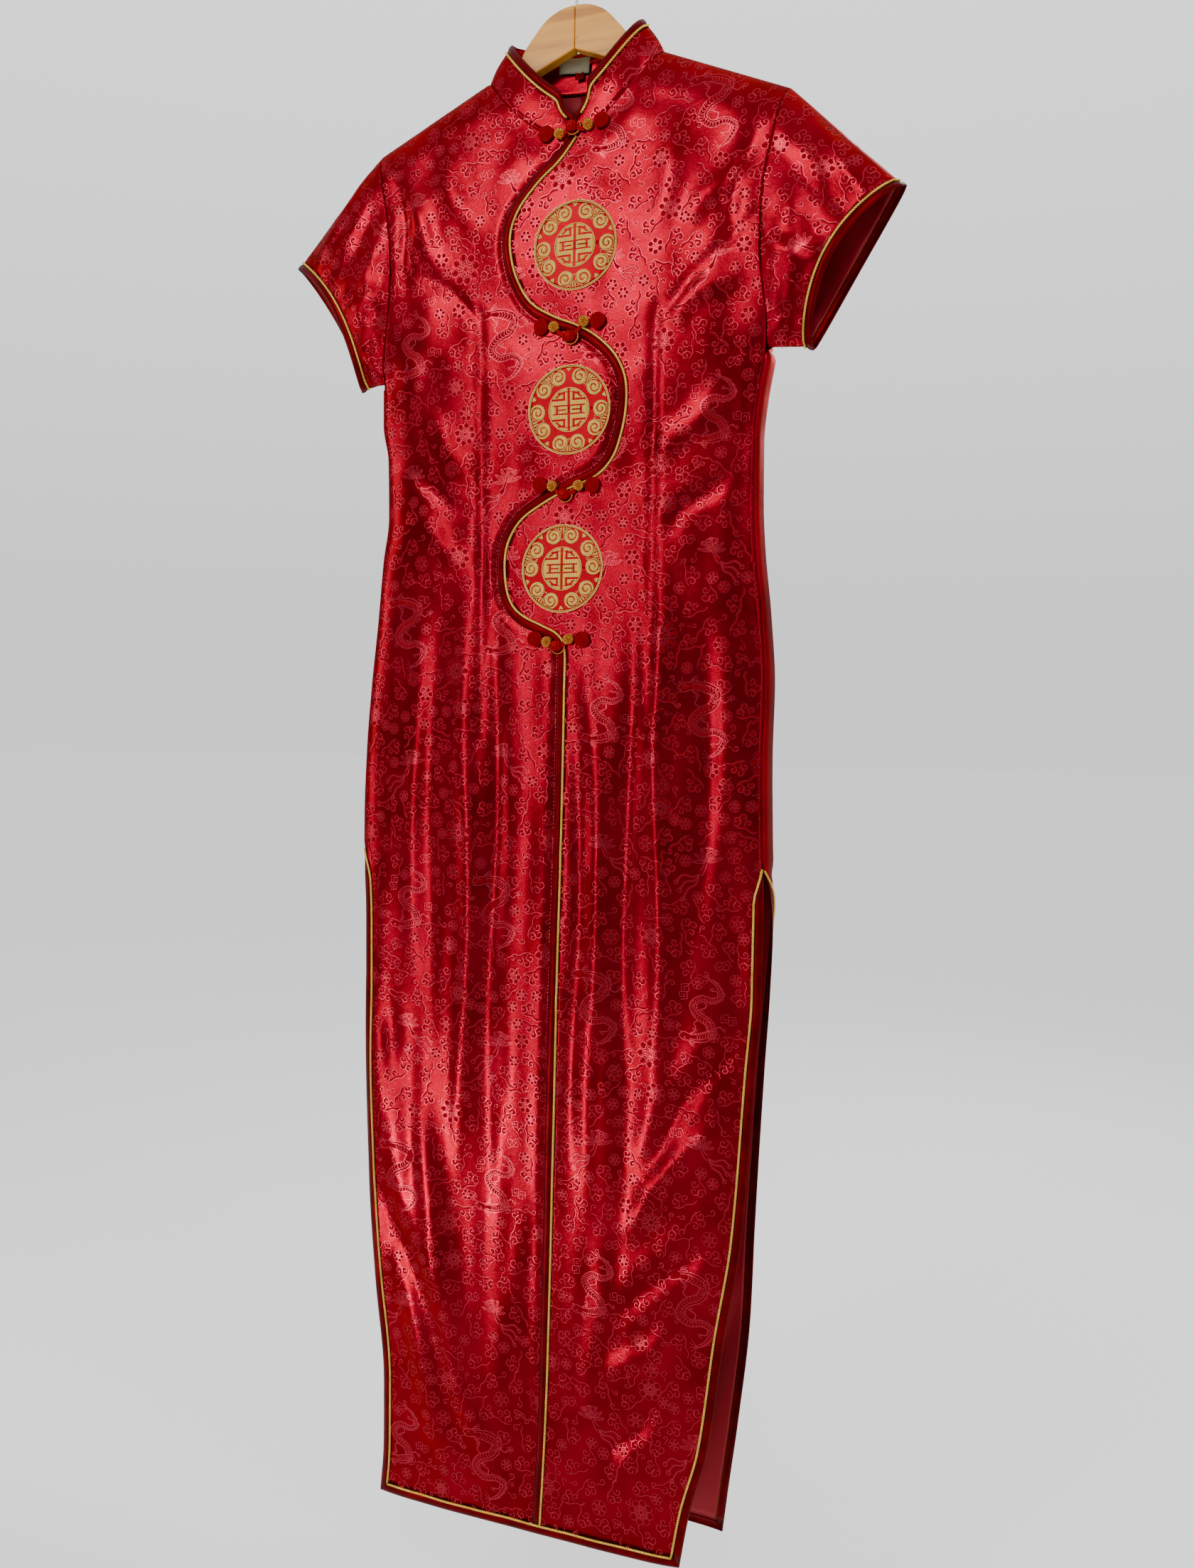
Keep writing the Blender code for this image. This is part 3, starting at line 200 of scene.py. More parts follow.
FINE_BACK = tuple((-a, b + 0.02, -c, d + 0.02, e, f) for a, b, c, d, e, f in FINE_FRONT[:33])
DARTS = (
    ((-0.178, 0.169), (-0.1316, 0.183), (-0.0915, 0.218), (-0.0830, 0.254), (-0.0786, 0.604)),
    ((0.180, 0.158), (0.1320, 0.196), (0.1005, 0.2305), (0.0877, 0.258), (0.0896, 0.582)),
)

# Camera, from the fit of the photo's outline
IMAGE_LONG_SIDE = 2207.0
FOCAL_PX = 1861.9
CAMERA_AZIMUTH = 0.3841
CAMERA_DISTANCE = 1.2484
CAMERA_PITCH = -0.0437
CAMERA_ROLL = 0.0133
CAMERA_TARGET = (0.0191, 0.026, -0.7121)
FLOOR_Z = -1.62


# Sampling helpers
def smoothstep(t):
    t = np.clip(t, 0.0, 1.0)
    return t * t * (3.0 - 2.0 * t)


def mix(a, b, t):
    return a + (b - a) * t


def table_curve(name):
    """Smooth curve through a column of the side table that doesn't overshoot."""
    k = SIDE_COLUMNS.index(name)
    keys = np.array([row[0] for row in SIDE_ROWS])
    values = np.array([row[k] for row in SIDE_ROWS])
    step = np.diff(keys)
    slope = np.diff(values) / step
    tangent = np.zeros(len(keys))
    tangent[0] = slope[0]
    tangent[-1] = slope[-1]
    for j in range(1, len(keys) - 1):
        if slope[j - 1] * slope[j] > 0.0:
            tangent[j] = 2.0 * slope[j - 1] * slope[j] / (slope[j - 1] + slope[j])

    def at(key):
        key = np.clip(key, keys[0], keys[-1])
        i = np.clip(np.searchsorted(keys, key, side="right") - 1, 0, len(keys) - 2)
        t = (key - keys[i]) / step[i]
        return ((1.0 + 2.0 * t) * (1.0 - t) ** 2 * values[i] + t * (1.0 - t) ** 2 * step[i] * tangent[i]
                + t * t * (3.0 - 2.0 * t) * values[i + 1] + t * t * (t - 1.0) * step[i] * tangent[i + 1])

    return at


SIDE = {name: table_curve(name) for name in SIDE_COLUMNS[1:]}


def smooth_curve(points, per_span=12, closed=False):
    """Catmull-Rom curve through points of any dimension."""
    pts = np.array(points, dtype=float)
    count = len(pts)
    out = []
    spans = count if closed else count - 1
    for i in range(spans):
        if closed:
            p0, p1, p2, p3 = (pts[(i + j) % count] for j in (-1, 0, 1, 2))
        else:
            p0, p1, p2, p3 = pts[max(i - 1, 0)], pts[i], pts[i + 1], pts[min(i + 2, count - 1)]
        for s in range(per_span):
            t = s / per_span
            out.append(0.5 * (2.0 * p1 + (p2 - p0) * t + (2.0 * p0 - 5.0 * p1 + 4.0 * p2 - p3) * t * t
                              + (3.0 * p1 - p0 - 3.0 * p2 + p3) * t ** 3))
    if not closed:
        out.append(pts[-1])
    return np.array(out)


def lengths_along(points):
    gaps = np.linalg.norm(np.diff(points, axis=0), axis=1)
    return np.concatenate([[0.0], np.cumsum(gaps)])


def resample(points, stops):
    length = lengths_along(points)
    return np.stack([np.interp(stops, length, points[:, k]) for k in range(points.shape[1])], axis=1)


class SoftNoise:
    """Smooth random hills on a lattice of 64 by 64 points."""

    def __init__(self, seed):
        self.grid = np.random.default_rng(seed).uniform(-1.0, 1.0, (64, 64))

    def at(self, x, y):
        i = np.floor(x).astype(int)
        j = np.floor(y).astype(int)
        u = smoothstep(x - i)
        v = smoothstep(y - j)
        g = self.grid
        low = mix(g[i % 64, j % 64], g[(i + 1) % 64, j % 64], u)
        high = mix(g[i % 64, (j + 1) % 64], g[(i + 1) % 64, (j + 1) % 64], u)
        return mix(low, high, v)


HILLS = SoftNoise(3)
RIPPLES = SoftNoise(8)


# The garment's surface
def shoulder_drop(x):
    return np.maximum(0.0, (np.abs(x) - NECK_HALF) * SHOULDER_SLOPE)


def neck_drop(x, depth):
    return depth * (1.0 - np.minimum(np.abs(x) / NECK_HALF, 1.0) ** NECK_CURVE)


def top_drop(x, depth):
    return np.where(np.abs(x) < NECK_HALF, neck_drop(x, depth), shoulder_drop(x))


def shoulder_rise(below):
    t = np.clip(below / SHOULDER_ROUND, 0.0, 1.0)
    return np.sqrt(1.0 - (1.0 - t) ** 2)


def squircle(share):
    return np.maximum(1.0 - np.abs(share) ** POWER, 0.0) ** (1.0 / POWER)


def fold_height(folds, x, drop):
    total = np.zeros(np.broadcast(x, drop).shape)
    for x_top, drop_top, x_end, drop_end, half_width, height in folds:
        along_x = x_end - x_top
        along_d = drop_end - drop_top
        run = math.hypot(along_x, along_d)
        t = ((x - x_top) * along_x + (drop - drop_top) * along_d) / (run * run)
        inside = np.clip(np.sin(np.pi * np.clip(t, 0.0, 1.0)), 0.0, 1.0) ** 0.8
        bend = 0.004 * np.sin(7.0 * t + x_top * 60.0)
        off = ((x - x_top) * along_d - (drop - drop_top) * along_x) / run + bend
        total = total + height * np.exp(-(off / half_width) ** 2) * inside
    return total


def line_distance(points, x, drop):
    best = np.full(np.broadcast(x, drop).shape, 1.0)
    for a, b in zip(points[:-1], points[1:]):
        along = np.array(b) - np.array(a)
        t = np.clip(((x - a[0]) * along[0] + (drop - a[1]) * along[1]) / (along @ along), 0.0, 1.0)
        best = np.minimum(best, np.hypot(x - a[0] - along[0] * t, drop - a[1] - along[1] * t))
    return best


DART_LINES = [smooth_curve(dart, 8) for dart in DARTS]
DART_DEPTH = 0.0011
DART_REACH = 0.0050
# The back's bend round the side: its length and its columns
BEND_REACH = 0.036
BEND_COLUMNS = 14


def unevenness(x, drop):
    """Soft dents of hanging cloth: long upright ones in the skirt, round ones at the chest."""
    skirt = smoothstep((drop - 0.42) / 0.2)
    chest = (1.0 - skirt) * smoothstep((drop - 0.01) / 0.05)
    upright = 0.0013 * HILLS.at(x * 34.0 + 7.3, drop * 5.0 + 3.1) + 0.0006 * RIPPLES.at(x * 75.0, drop * 11.0)
    round_dents = (0.0018 * HILLS.at(x * 20.0 + 31.0, drop * 17.0)
                   + 0.0007 * RIPPLES.at(x * 44.0 + 9.0, drop * 38.0))
    return upright * skirt + round_dents * chest


def front_y(x, drop):
    depth = SIDE["front_depth"](drop)
    turn = SIDE["front_turn"](drop)
    side = np.where(x > 0.0, SIDE["front_left"](drop), SIDE["front_right"](drop))
    width = side / squircle(turn)
    share = np.minimum(np.abs(x) / width, 0.999)
    calm = smoothstep((width - np.abs(x)) / 0.03)
    flat = depth * squircle(share) * shoulder_rise(drop - shoulder_drop(x))
    detail = fold_height(FRONT_FOLDS, x, drop) + fold_height(FINE_FRONT, x, drop) + unevenness(x, drop)
    for dart in DART_LINES:
        detail = detail - DART_DEPTH * np.exp(-(line_distance(dart, x, drop) / DART_REACH) ** 2)
    trim = smoothstep((drop - top_drop(x, NECK_FRONT)) / 0.03) * smoothstep((FRONT_HEM - drop) / 0.04 + 0.25)
    return -np.maximum(flat, SHOULDER_HALF_GAP) - detail * calm * trim


def front_place(x, below):
    drop = below + shoulder_drop(x)
    return np.stack([x, front_y(x, drop), NECK_Z - drop], axis=-1)


def front_surface(x, drop, out=0.0):
    """Points of the front at x and drop, moved out along the normal."""
    x, drop = np.broadcast_arrays(np.asarray(x, float), np.asarray(drop, float))
    below = drop - shoulder_drop(x)
    step = 0.0012
    small = np.where(below < 0.004, 0.0003, 0.0012)
    across = front_place(x + step, below) - front_place(x - step, below)
    down = front_place(x, below + small) - front_place(x, np.maximum(below - small, 0.0))
    normal = np.cross(across, down)
    normal /= np.linalg.norm(normal, axis=-1, keepdims=True)
    normal = np.where(normal[..., 1:2] > 0.02, -normal, normal)
    return front_place(x, below) + normal * np.asarray(out)[..., None], normal


def back_outline(drop, column):
    depth = SIDE["back_depth"](drop)
    front_depth = SIDE["front_depth"](drop)
    turn = float(SIDE["back_turn"](drop))
    width = SIDE[column](drop) / squircle(turn)
    knee = 0.84
    if turn > knee:
        share = squircle(turn) * np.linspace(0.0, 1.0, 60)
        return np.stack([share * width, squircle(share) * depth], axis=1)
    share = squircle(knee) * np.linspace(0.0, 1.0, 30)
    flat = np.stack([share * width, squircle(share) * depth], axis=1)
    level = np.linspace(knee, turn, 40)[1:]
    bend = np.stack([squircle(level) * width, level * np.where(level > 0.0, depth, front_depth)], axis=1)
    return np.concatenate([flat, bend])


def back_row(level, column, inset, count):
    """Row of the back at a level, from the centre seam to an inset from the side line."""
    fade = 1.0 - smoothstep(level / 0.16)
    lowest = level + NECK_BACK + (SHOULDER_DROP - NECK_BACK) * fade
    outline = back_outline(lowest, column)
    total = lengths_along(outline)[-1]
    end = total - inset
    flat = max(total - BEND_REACH, 0.5 * total)
    inner = np.linspace(0.0, flat, count - BEND_COLUMNS, endpoint=False)
    x, y = resample(outline, np.concatenate([inner, np.linspace(flat, end, BEND_COLUMNS)])).T
    drop = level + NECK_BACK + (top_drop(x, NECK_BACK) - NECK_BACK) * fade
    calm = smoothstep((outline[-1][0] - x) / 0.03)
    sign = 1.0 if column == "back_left" else -1.0
    detail = (fold_height(BACK_FOLDS, sign * x, drop) + fold_height(FINE_BACK, sign * x, drop)
              + unevenness(sign * x + 0.7, drop + 0.3))
    trim = smoothstep(level / 0.03) * smoothstep((BACK_HEM - drop) / 0.04 + 0.25)
    risen = np.maximum(y * shoulder_rise(drop - shoulder_drop(x)), SHOULDER_HALF_GAP) + detail * calm * trim
    y = np.where(y > 0.0, risen, y)
    x = np.maximum(x, 0.00002)
    return np.stack([sign * x, y, NECK_Z - drop], axis=1)


def slit_inset(drop):
    return BINDING * smoothstep((drop - SLIT_TOP) / 0.035)


def edge_rows(wave_step, skirt_step):
    """Rows of the wavy edge: x, drop and the normal that points under the top panel."""
    dense = smooth_curve(EDGE_POINTS, 16)
    length = lengths_along(dense)
    wave_end = np.interp(0.545, dense[:, 1], length)
    wave = np.linspace(0.0, wave_end, int(wave_end / wave_step))
    skirt = np.linspace(wave_end, length[-1], int((length[-1] - wave_end) / skirt_step))[1:]
    stops = np.concatenate([[0.0, 0.0008, 0.002], wave[1:], skirt])
    rows = resample(dense, stops)
    reach = 0.004
    run = (resample(dense, np.minimum(stops + reach, length[-1]))
           - resample(dense, np.maximum(stops - reach, 0.0)))
    normal = np.stack([run[:, 1], -run[:, 0]], axis=1)
    normal /= np.linalg.norm(normal, axis=1, keepdims=True)
    level = (smoothstep(stops / 0.05) * (1.0 - smoothstep((rows[:, 1] - 0.70) / 0.03)))[:, None]
    normal = mix(np.array([1.0, 0.0]), normal, level)
    normal /= np.linalg.norm(normal, axis=1, keepdims=True)
    return rows[:, 0], rows[:, 1], normal[:, 0], normal[:, 1]


# Materials
def feed(tree, socket, value):
    """Give an input its value, or link an output to it."""
    if isinstance(value, bpy.types.NodeSocket):
        tree.links.new(value, socket)
    else:
        socket.default_value = value


def node(tree, kind, **values):
    """Node with its settings and inputs. In an input's name, _ stands for a space."""
    made = tree.nodes.new("ShaderNode" + kind)
    for key, value in values.items():
        socket = key.replace("_", " ")
        if socket in made.inputs:
            feed(tree, made.inputs[socket], value)
        else:
            setattr(made, key, value)
    return made


def new_material(name, color, roughness, metallic=0.0, specular=0.5):
    made = bpy.data.materials.new(name)
    made.use_nodes = True
    made.diffuse_color = (*color, 1.0)
    shader = made.node_tree.nodes["Principled BSDF"]
    values = {"Base Color": (*color, 1.0), "Roughness": roughness, "Metallic": metallic,
              "Specular IOR Level": specular}
    if metallic > 0.4:
        values["Specular Tint"] = (*(min(1.0, 1.6 * value + 0.02) for value in color), 1.0)
    for key, value in values.items():
        shader.inputs[key].default_value = value
    return made, made.node_tree, shader


def math_node(tree, operation, *values):
    made = node(tree, "Math", operation=operation)
    for socket, value in zip(made.inputs, values):
        feed(tree, socket, value)
    return made.outputs[0]


def ramp(tree, source, *stops):
    made = node(tree, "ValToRGB", Fac=source)
    elements = made.color_ramp.elements
    while len(elements) < len(stops):
        elements.new(0.5)
    for element, (place, color) in zip(elements, stops):
        element.position = place
        element.color = (*color, 1.0)
    return made.outputs["Color"]


def bump(tree, shader, height, strength, distance):
    made = node(tree, "Bump", Strength=strength, Distance=distance, Height=height)
    tree.links.new(made.outputs["Normal"], shader.inputs["Normal"])


def object_vector(tree):
    return node(tree, "TexCoord").outputs["Object"]


def cloth_vector(tree, across, along=None):
    """Cloth coordinates in metres, scaled."""
    uv = node(tree, "UVMap", uv_map="cloth")
    scale = (across, along or across, across)
    return node(tree, "Mapping", Scale=scale, Vector=uv.outputs["UV"]).outputs["Vector"]


def noise(tree, vector, scale=1.0, **values):
    return node(tree, "TexNoise", Scale=scale, Vector=vector, **values).outputs["Fac"]


def bands(tree, vector, direction, **values):
    return node(tree, "TexWave", wave_type="BANDS", bands_direction=direction, Scale=1.0, Vector=vector,
                **values).outputs["Fac"]


def brocade_material():
    """Satin ground of the jacquard: glossy red with a fine weave and slight tone changes."""
    made, tree, shader = new_material("brocade", (0.22, 0.0003, 0.006), 0.25, 0.88, 0.2)
    tone = noise(tree, cloth_vector(tree, 16.0), Detail=3.0)
    feed(tree, shader.inputs["Base Color"],
         ramp(tree, tone, (0.30, (0.16, 0.0002, 0.0060)), (0.70, (0.29, 0.0004, 0.0140))))
    weave = noise(tree, cloth_vector(tree, 620.0, 2300.0), Detail=2.0)
    slub = noise(tree, cloth_vector(tree, 170.0), Detail=3.0)
    bump(tree, shader, math_node(tree, "ADD", slub, math_node(tree, "MULTIPLY", weave, 0.5)), 0.5, 0.00022)
    return made


def figure_material(name, color, roughness, metallic, specular):
    """Woven figure thread with a fine float grain."""
    made, tree, shader = new_material(name, color, roughness, metallic, specular)
    bump(tree, shader, noise(tree, object_vector(tree), 1400.0, Detail=1.0), 0.5, 0.0002)
    return made


def satin_material():
    """Plain dark satin of the bindings, with faint diagonal threads."""
    made, tree, shader = new_material("binding_satin", (0.105, 0.0010, 0.0030), 0.28, 0.5, 0.35)
    tone = noise(tree, cloth_vector(tree, 45.0))
    feed(tree, shader.inputs["Base Color"],
         ramp(tree, tone, (0.3, (0.075, 0.0006, 0.0020)), (0.72, (0.150, 0.0014, 0.0045))))
    bump(tree, shader, bands(tree, cloth_vector(tree, 300.0), "DIAGONAL", Distortion=1.5), 0.25, 0.0002)
    return made


def gold_material(name, color, dark, roughness, metallic):
    """Metal-wrapped thread: its own gold on the ridges of its twist, painted shade in the grooves, and random
    darker patches.
    """
    made, tree, shader = new_material(name, color, roughness, metallic, 0.6)
    twist = bands(tree, cloth_vector(tree, 260.0), "DIAGONAL", Distortion=0.6)
    total = math_node(tree, "MULTIPLY", twist, noise(tree, cloth_vector(tree, 70.0)))
    # The dark colour is painted shade in the twist's grooves, where the bump dips, mixed with random tone from
    # the noise.
    feed(tree, shader.inputs["Base Color"], ramp(tree, total, (0.08, dark), (0.42, color)))
    bump(tree, shader, twist, 0.7, 0.0003)
    return made


def wood_material():
    """Varnished pale wood with long grain along the arms, and a few small knots."""
    made, tree, shader = new_material("hanger_wood", (0.80, 0.47, 0.13), 0.32)
    shader.inputs["Coat Weight"].default_value = 0.15
    shader.inputs["Coat Roughness"].default_value = 0.15
    stretch = node(tree, "Mapping", Rotation=(0.0, 0.42, 0.0), Scale=(9.0, 60.0, 95.0),
                   Vector=object_vector(tree))
    grain = noise(tree, stretch.outputs["Vector"], Detail=6.0, Distortion=0.7)
    base = ramp(tree, grain, (0.28, (0.44, 0.14, 0.006)), (0.50, (0.70, 0.28, 0.018)),
                (0.75, (0.80, 0.37, 0.036)))
    knots = node(tree, "TexVoronoi", Scale=42.0, Vector=object_vector(tree))
    spot = math_node(tree, "LESS_THAN", knots.outputs["Distance"], 0.07)
    joined = node(tree, "Mix", data_type="RGBA", Factor=math_node(tree, "MULTIPLY", spot, 0.7), A=base,
                  B=(0.34, 0.14, 0.03, 1.0))
    feed(tree, shader.inputs["Base Color"], joined.outputs["Result"])
    bump(tree, shader, grain, 0.12, 0.0006)
    return made


def steel_material():
    made, tree, shader = new_material("hook_steel", (0.62, 0.62, 0.63), 0.2, 1.0)
    tone = noise(tree, object_vector(tree), 90.0)
    feed(tree, shader.inputs["Roughness"],
         ramp(tree, tone, (0.3, (0.14, 0.14, 0.14)), (0.7, (0.30, 0.30, 0.30))))
    return made


def woven_material(name, color, dark, scale):
    """Plain woven tape for the label, darker between its threads: painted shade in the grooves."""
    made, tree, shader = new_material(name, color, 0.75)
    threads = bands(tree, cloth_vector(tree, scale), "X")
    # The dark colour is painted shade in the grooves between the threads, where the bump dips.
    feed(tree, shader.inputs["Base Color"], ramp(tree, threads, (0.2, dark), (0.8, color)))
    bump(tree, shader, threads, 0.4, 0.0002)
    return made


MATERIALS = {
    "brocade": brocade_material(),
    "fill": figure_material("brocade_figure", (0.190, 0.0020, 0.0080), 0.50, 0.65, 0.25),
    "line": figure_material("brocade_outline", (0.44, 0.026, 0.044), 0.25, 0.90, 0.4),
    "reverse": figure_material("brocade_reverse", (0.30, 0.0050, 0.0150), 0.45, 0.25, 0.3),
    "satin": satin_material(),
    # The second colour of each gold is painted shade for the grooves of its twist.
    "gold_cord": gold_material("gold_cord", (0.96, 0.64, 0.12), (0.40, 0.17, 0.010), 0.30, 0.65),
    "gold_thread": gold_material("gold_thread", (1.0, 0.84, 0.27), (0.82, 0.38, 0.025), 0.30, 0.42),
    "roundel_ground": figure_material("roundel_ground", (0.33, 0.0004, 0.009), 0.36, 0.6, 0.3),
    "red_cord": figure_material("red_cord", (0.300, 0.0030, 0.0060), 0.42, 0.50, 0.15),
    "wood": wood_material(),
    "steel": steel_material(),
    # The label's second colour is painted shade between its threads.
    "label": woven_material("label_tape", (0.27, 0.25, 0.15), (0.15, 0.13, 0.07), 500.0),
}


# Mesh helpers
def add_object(name, mesh):
    made = bpy.data.objects.new(name, mesh)
    bpy.context.scene.collection.objects.link(made)
    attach(made, "root")
    return made


def add_piece(name, verts, faces, material, uvs):
    mesh = bpy.data.meshes.new(name)
    mesh.from_pydata([tuple(v) for v in verts], [], [tuple(f) for f in faces])
    mesh.materials.append(MATERIALS[material])
    index = np.empty(len(mesh.loops), dtype=np.int32)
    mesh.loops.foreach_get("vertex_index", index)
    layer = mesh.uv_layers.new(name="cloth")
    layer.data.foreach_set("uv", np.asarray(uvs)[index].astype(np.float32).ravel())
    mesh.shade_smooth()
    return add_object(name, mesh)


def grid_faces(rows, columns, closed=False):
    """Quads of a grid. A closed grid joins its last column to its first."""
    i, j = np.meshgrid(np.arange(rows - 1), np.arange(columns if closed else columns - 1), indexing="ij")
    n = (j + 1) % columns
    quads = np.stack([i * columns + j, (i + 1) * columns + j, (i + 1) * columns + n, i * columns + n], axis=-1)
    return quads.reshape(-1, 4)


def grid_uv(points):
    """Cloth coordinates from lengths along the rows and down the columns."""
    across = np.zeros(points.shape[:2])
    across[:, 1:] = np.cumsum(np.linalg.norm(np.diff(points, axis=1), axis=2), axis=1)
    middle = points.shape[1] // 2
    across -= across[:, middle:middle + 1] - points[:, middle, 0][:, None]
    return np.stack([across, points[..., 2]], axis=-1).reshape(-1, 2)


def flat_uv(across, along):
    """Cloth coordinates of a grid from one value for each column and row, broadcast."""
    return np.stack(np.broadcast_arrays(across, along), axis=-1).reshape(-1, 2)


def cloth(name, points, outward, material, thick, replaces, closed=False, uvs=None):
    """Thin shell through a grid of points, with its faces looking outward."""
    faces = grid_faces(*points.shape[:2], closed)
    verts = points.reshape(-1, 3)
    a, b, c = verts[faces[:, 0]], verts[faces[:, 1]], verts[faces[:, 3]]
    normal = np.cross(b - a, c - a)
    look = outward(verts[faces].mean(axis=1)) if callable(outward) else np.array(outward)
    if (normal * look).sum() < 0.0:
        faces = faces[:, ::-1]
    made = add_piece(name, verts, faces, material, grid_uv(points) if uvs is None else uvs)
    solid = made.modifiers.new("cloth", "SOLIDIFY")
    solid.thickness = thick
    solid.offset = -1.0
    if material == "brocade" and name != "collar_cloth":
        made.data.materials.append(MATERIALS["reverse"])
        solid.material_offset = 1
    if replaces:
        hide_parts(replaces)
    return made, verts, faces


def tube_mesh(points, radius, sides=8, closed=False, flatten=None):
    """Tube around a path: vertices, faces and cloth coordinates. flatten scales one direction."""
    pts = np.asarray(points, float)
    count = len(pts)
    after = np.roll(pts, -1, axis=0)
    before = np.roll(pts, 1, axis=0)
    if not closed:
        after[-1] = pts[-1]
        before[0] = pts[0]
    tangent = after - before
    tangent /= np.linalg.norm(tangent, axis=1, keepdims=True)
    up, tall = flatten or ((0.0, -1.0, 0.0), 1.0)
    first = np.cross(tangent, np.asarray(up, float))
    first /= np.maximum(np.linalg.norm(first, axis=1, keepdims=True), 1e-6)
    second = np.cross(first, tangent)
    turn = 2.0 * np.pi * np.arange(sides) / sides
    ring = (np.cos(turn)[None, :, None] * first[:, None, :]
            + np.sin(turn)[None, :, None] * second[:, None, :] * tall)
    verts = (pts[:, None, :] + ring * radius).reshape(-1, 3)
    uvs = np.stack([np.repeat(lengths_along(pts), sides), np.tile(turn * radius, count)], axis=1)
    faces = [tuple(f) for f in grid_faces(count, sides, True)]
    last = (count - 1) * sides
    if closed:
        faces += [(last + k, k, (k + 1) % sides, last + (k + 1) % sides) for k in range(sides)]
    else:
        faces += [tuple(range(sides)), tuple(reversed(range(last, last + sides)))]
    return verts, faces, uvs


def add_tubes(name, parts, material, replaces=None):
    faces = []
    start = 0
    for verts, part_faces, _ in parts:
        faces += [tuple(int(k) + start for k in face) for face in part_faces]
        start += len(verts)
    made = add_piece(name, np.concatenate([part[0] for part in parts]), faces, material,
                     np.concatenate([part[2] for part in parts]))
    if replaces:
        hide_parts(replaces)
    return made


SURFACES = {}


def keep_surface(name, verts, faces):
    """Keep a shell's surface, so that figures and stitches can be laid on it."""
    SURFACES[name] = BVHTree.FromPolygons([tuple(v) for v in verts], [tuple(int(k) for k in f) for f in faces])


# Panels
FRONT_COLUMNS = 54
# Depth of the under panel below the top one
LAP = 0.0015


def side_of(rows, column):
    """Drop and inset half width of a front panel's side line for each row."""
    fade = 1.0 - smoothstep((rows[1] - rows[1][0]) / 0.17)
    drop = rows[1] + (SHOULDER_DROP - rows[1][0]) * fade
    return fade, drop, SIDE[column](drop) - slit_inset(drop) - SIDE_SEAM


def front_grid(rows, sign, inner_x, inner_drop, inner_top):
    """Grid of drops and x from the side line to an inner line, as on the solids."""
    column = "front_left" if sign > 0 else "front_right"
    fade, _, x_side = side_of(rows, column)
    share = np.linspace(0.0, 1.0, FRONT_COLUMNS)
    share = np.concatenate([[0.0, 0.012, 0.026, 0.042, 0.062], share[share > 0.075]])
    x = mix(sign * x_side[:, None], inner_x[:, None], share[None, :])
    x_top = mix(sign * SHOULDER_X, inner_top, share)[None, :]
    level = mix(rows[1][:, None], inner_drop[:, None], share[None, :])
    drop = level + (top_drop(x_top, NECK_FRONT) - rows[1][0]) * fade[:, None]
    return x, drop


def panel(name, points, outward):
    made, verts, faces = cloth(name + "_cloth", points, outward, "brocade", CLOTH_THICK, name)
    keep_surface(name, verts, faces)


def front_panels(rows):
    x, drop = front_grid(rows, 1.0, rows[0], rows[1], rows[0][0])
    points, _ = front_surface(x, drop)
    panel("front_left", points, FRONT)
    lap_start = mix(0.0145, 0.024, 1.0 - smoothstep((rows[1] - rows[1][0]) / 0.06))
    inner_x = rows[0] - rows[2] * lap_start
    inner_drop = rows[1] - rows[3] * lap_start
    x, drop = front_grid(rows, -1.0, inner_x, inner_drop, rows[0][0] - 0.024)
    out = np.zeros(x.shape)
    fade = 1.0 - smoothstep((rows[1] - rows[1][0]) / 0.17)
    for away, back in ((0.0115, 0.5), (0.0095, 1.0), (0.004, 1.0), (0.0, 1.0), (-0.006, 1.0),
                       (-UNDERLAP, 1.0)):
        top = top_drop(np.array(rows[0][0] - away), NECK_FRONT)
        x_new = rows[0] - rows[2] * away
        drop_new = rows[1] - rows[3] * away + (top - rows[1][0]) * fade
        x = np.concatenate([x, x_new[:, None]], axis=1)
        drop = np.concatenate([drop, np.minimum(drop_new, rows[1][-1])[:, None]], axis=1)
        out = np.concatenate([out, np.full((len(x), 1), -LAP * back)], axis=1)
    points, _ = front_surface(x, drop, out)
    panel("front_right", points, FRONT)


def back_panels():
    levels = np.concatenate([[0.0, 0.0006, 0.0018, 0.004, 0.007], np.linspace(0.011, 0.56, 125),
                             np.linspace(0.566, BACK_HEM - BINDING - NECK_BACK, 118)])
    for column, carrier in (("back_left", "hanger_left"), ("back_right", "hanger_right")):
        grid = [back_row(level, column, float(slit_inset(level + NECK_BACK)) + SIDE_SEAM, 58)
                for level in levels]
        panel(column, np.array(grid), BACK)


# Sleeves
def armhole_loop(sign):
    side = "left" if sign > 0 else "right"
    column_front = "front_" + side
    column_back = "back_" + side
    front = []
    back = []
    for drop in ARMHOLE_DROPS:
        x = float(SIDE[column_front](drop))
        lift = UNDERARM_LIFT * float(smoothstep((drop - 0.22) / 0.045))
        y = float(front_y(np.array(sign * x), np.array(drop)))
        front.append((sign * (x + ARMHOLE_GAP), y, NECK_Z - drop + lift))
        turn = float(SIDE["back_turn"](drop))
        depth = float(SIDE["back_depth" if turn > 0.0 else "front_depth"](drop))
        y = turn * depth * float(shoulder_rise(drop - SHOULDER_DROP))
        back.append((sign * (float(SIDE[column_back](drop)) + ARMHOLE_GAP), y, NECK_Z - drop + lift))
    top = (sign * (SHOULDER_X + ARMHOLE_GAP), 0.0, NECK_Z - SHOULDER_DROP)
    x = float(SIDE[column_front](UNDERARM))
    y = float(front_y(np.array(sign * x), np.array(UNDERARM))) * 0.6
    under = (sign * (x + ARMHOLE_GAP), y, NECK_Z - UNDERARM + UNDERARM_LIFT)
    return np.array([top] + front[1:] + [under] + back[:0:-1])


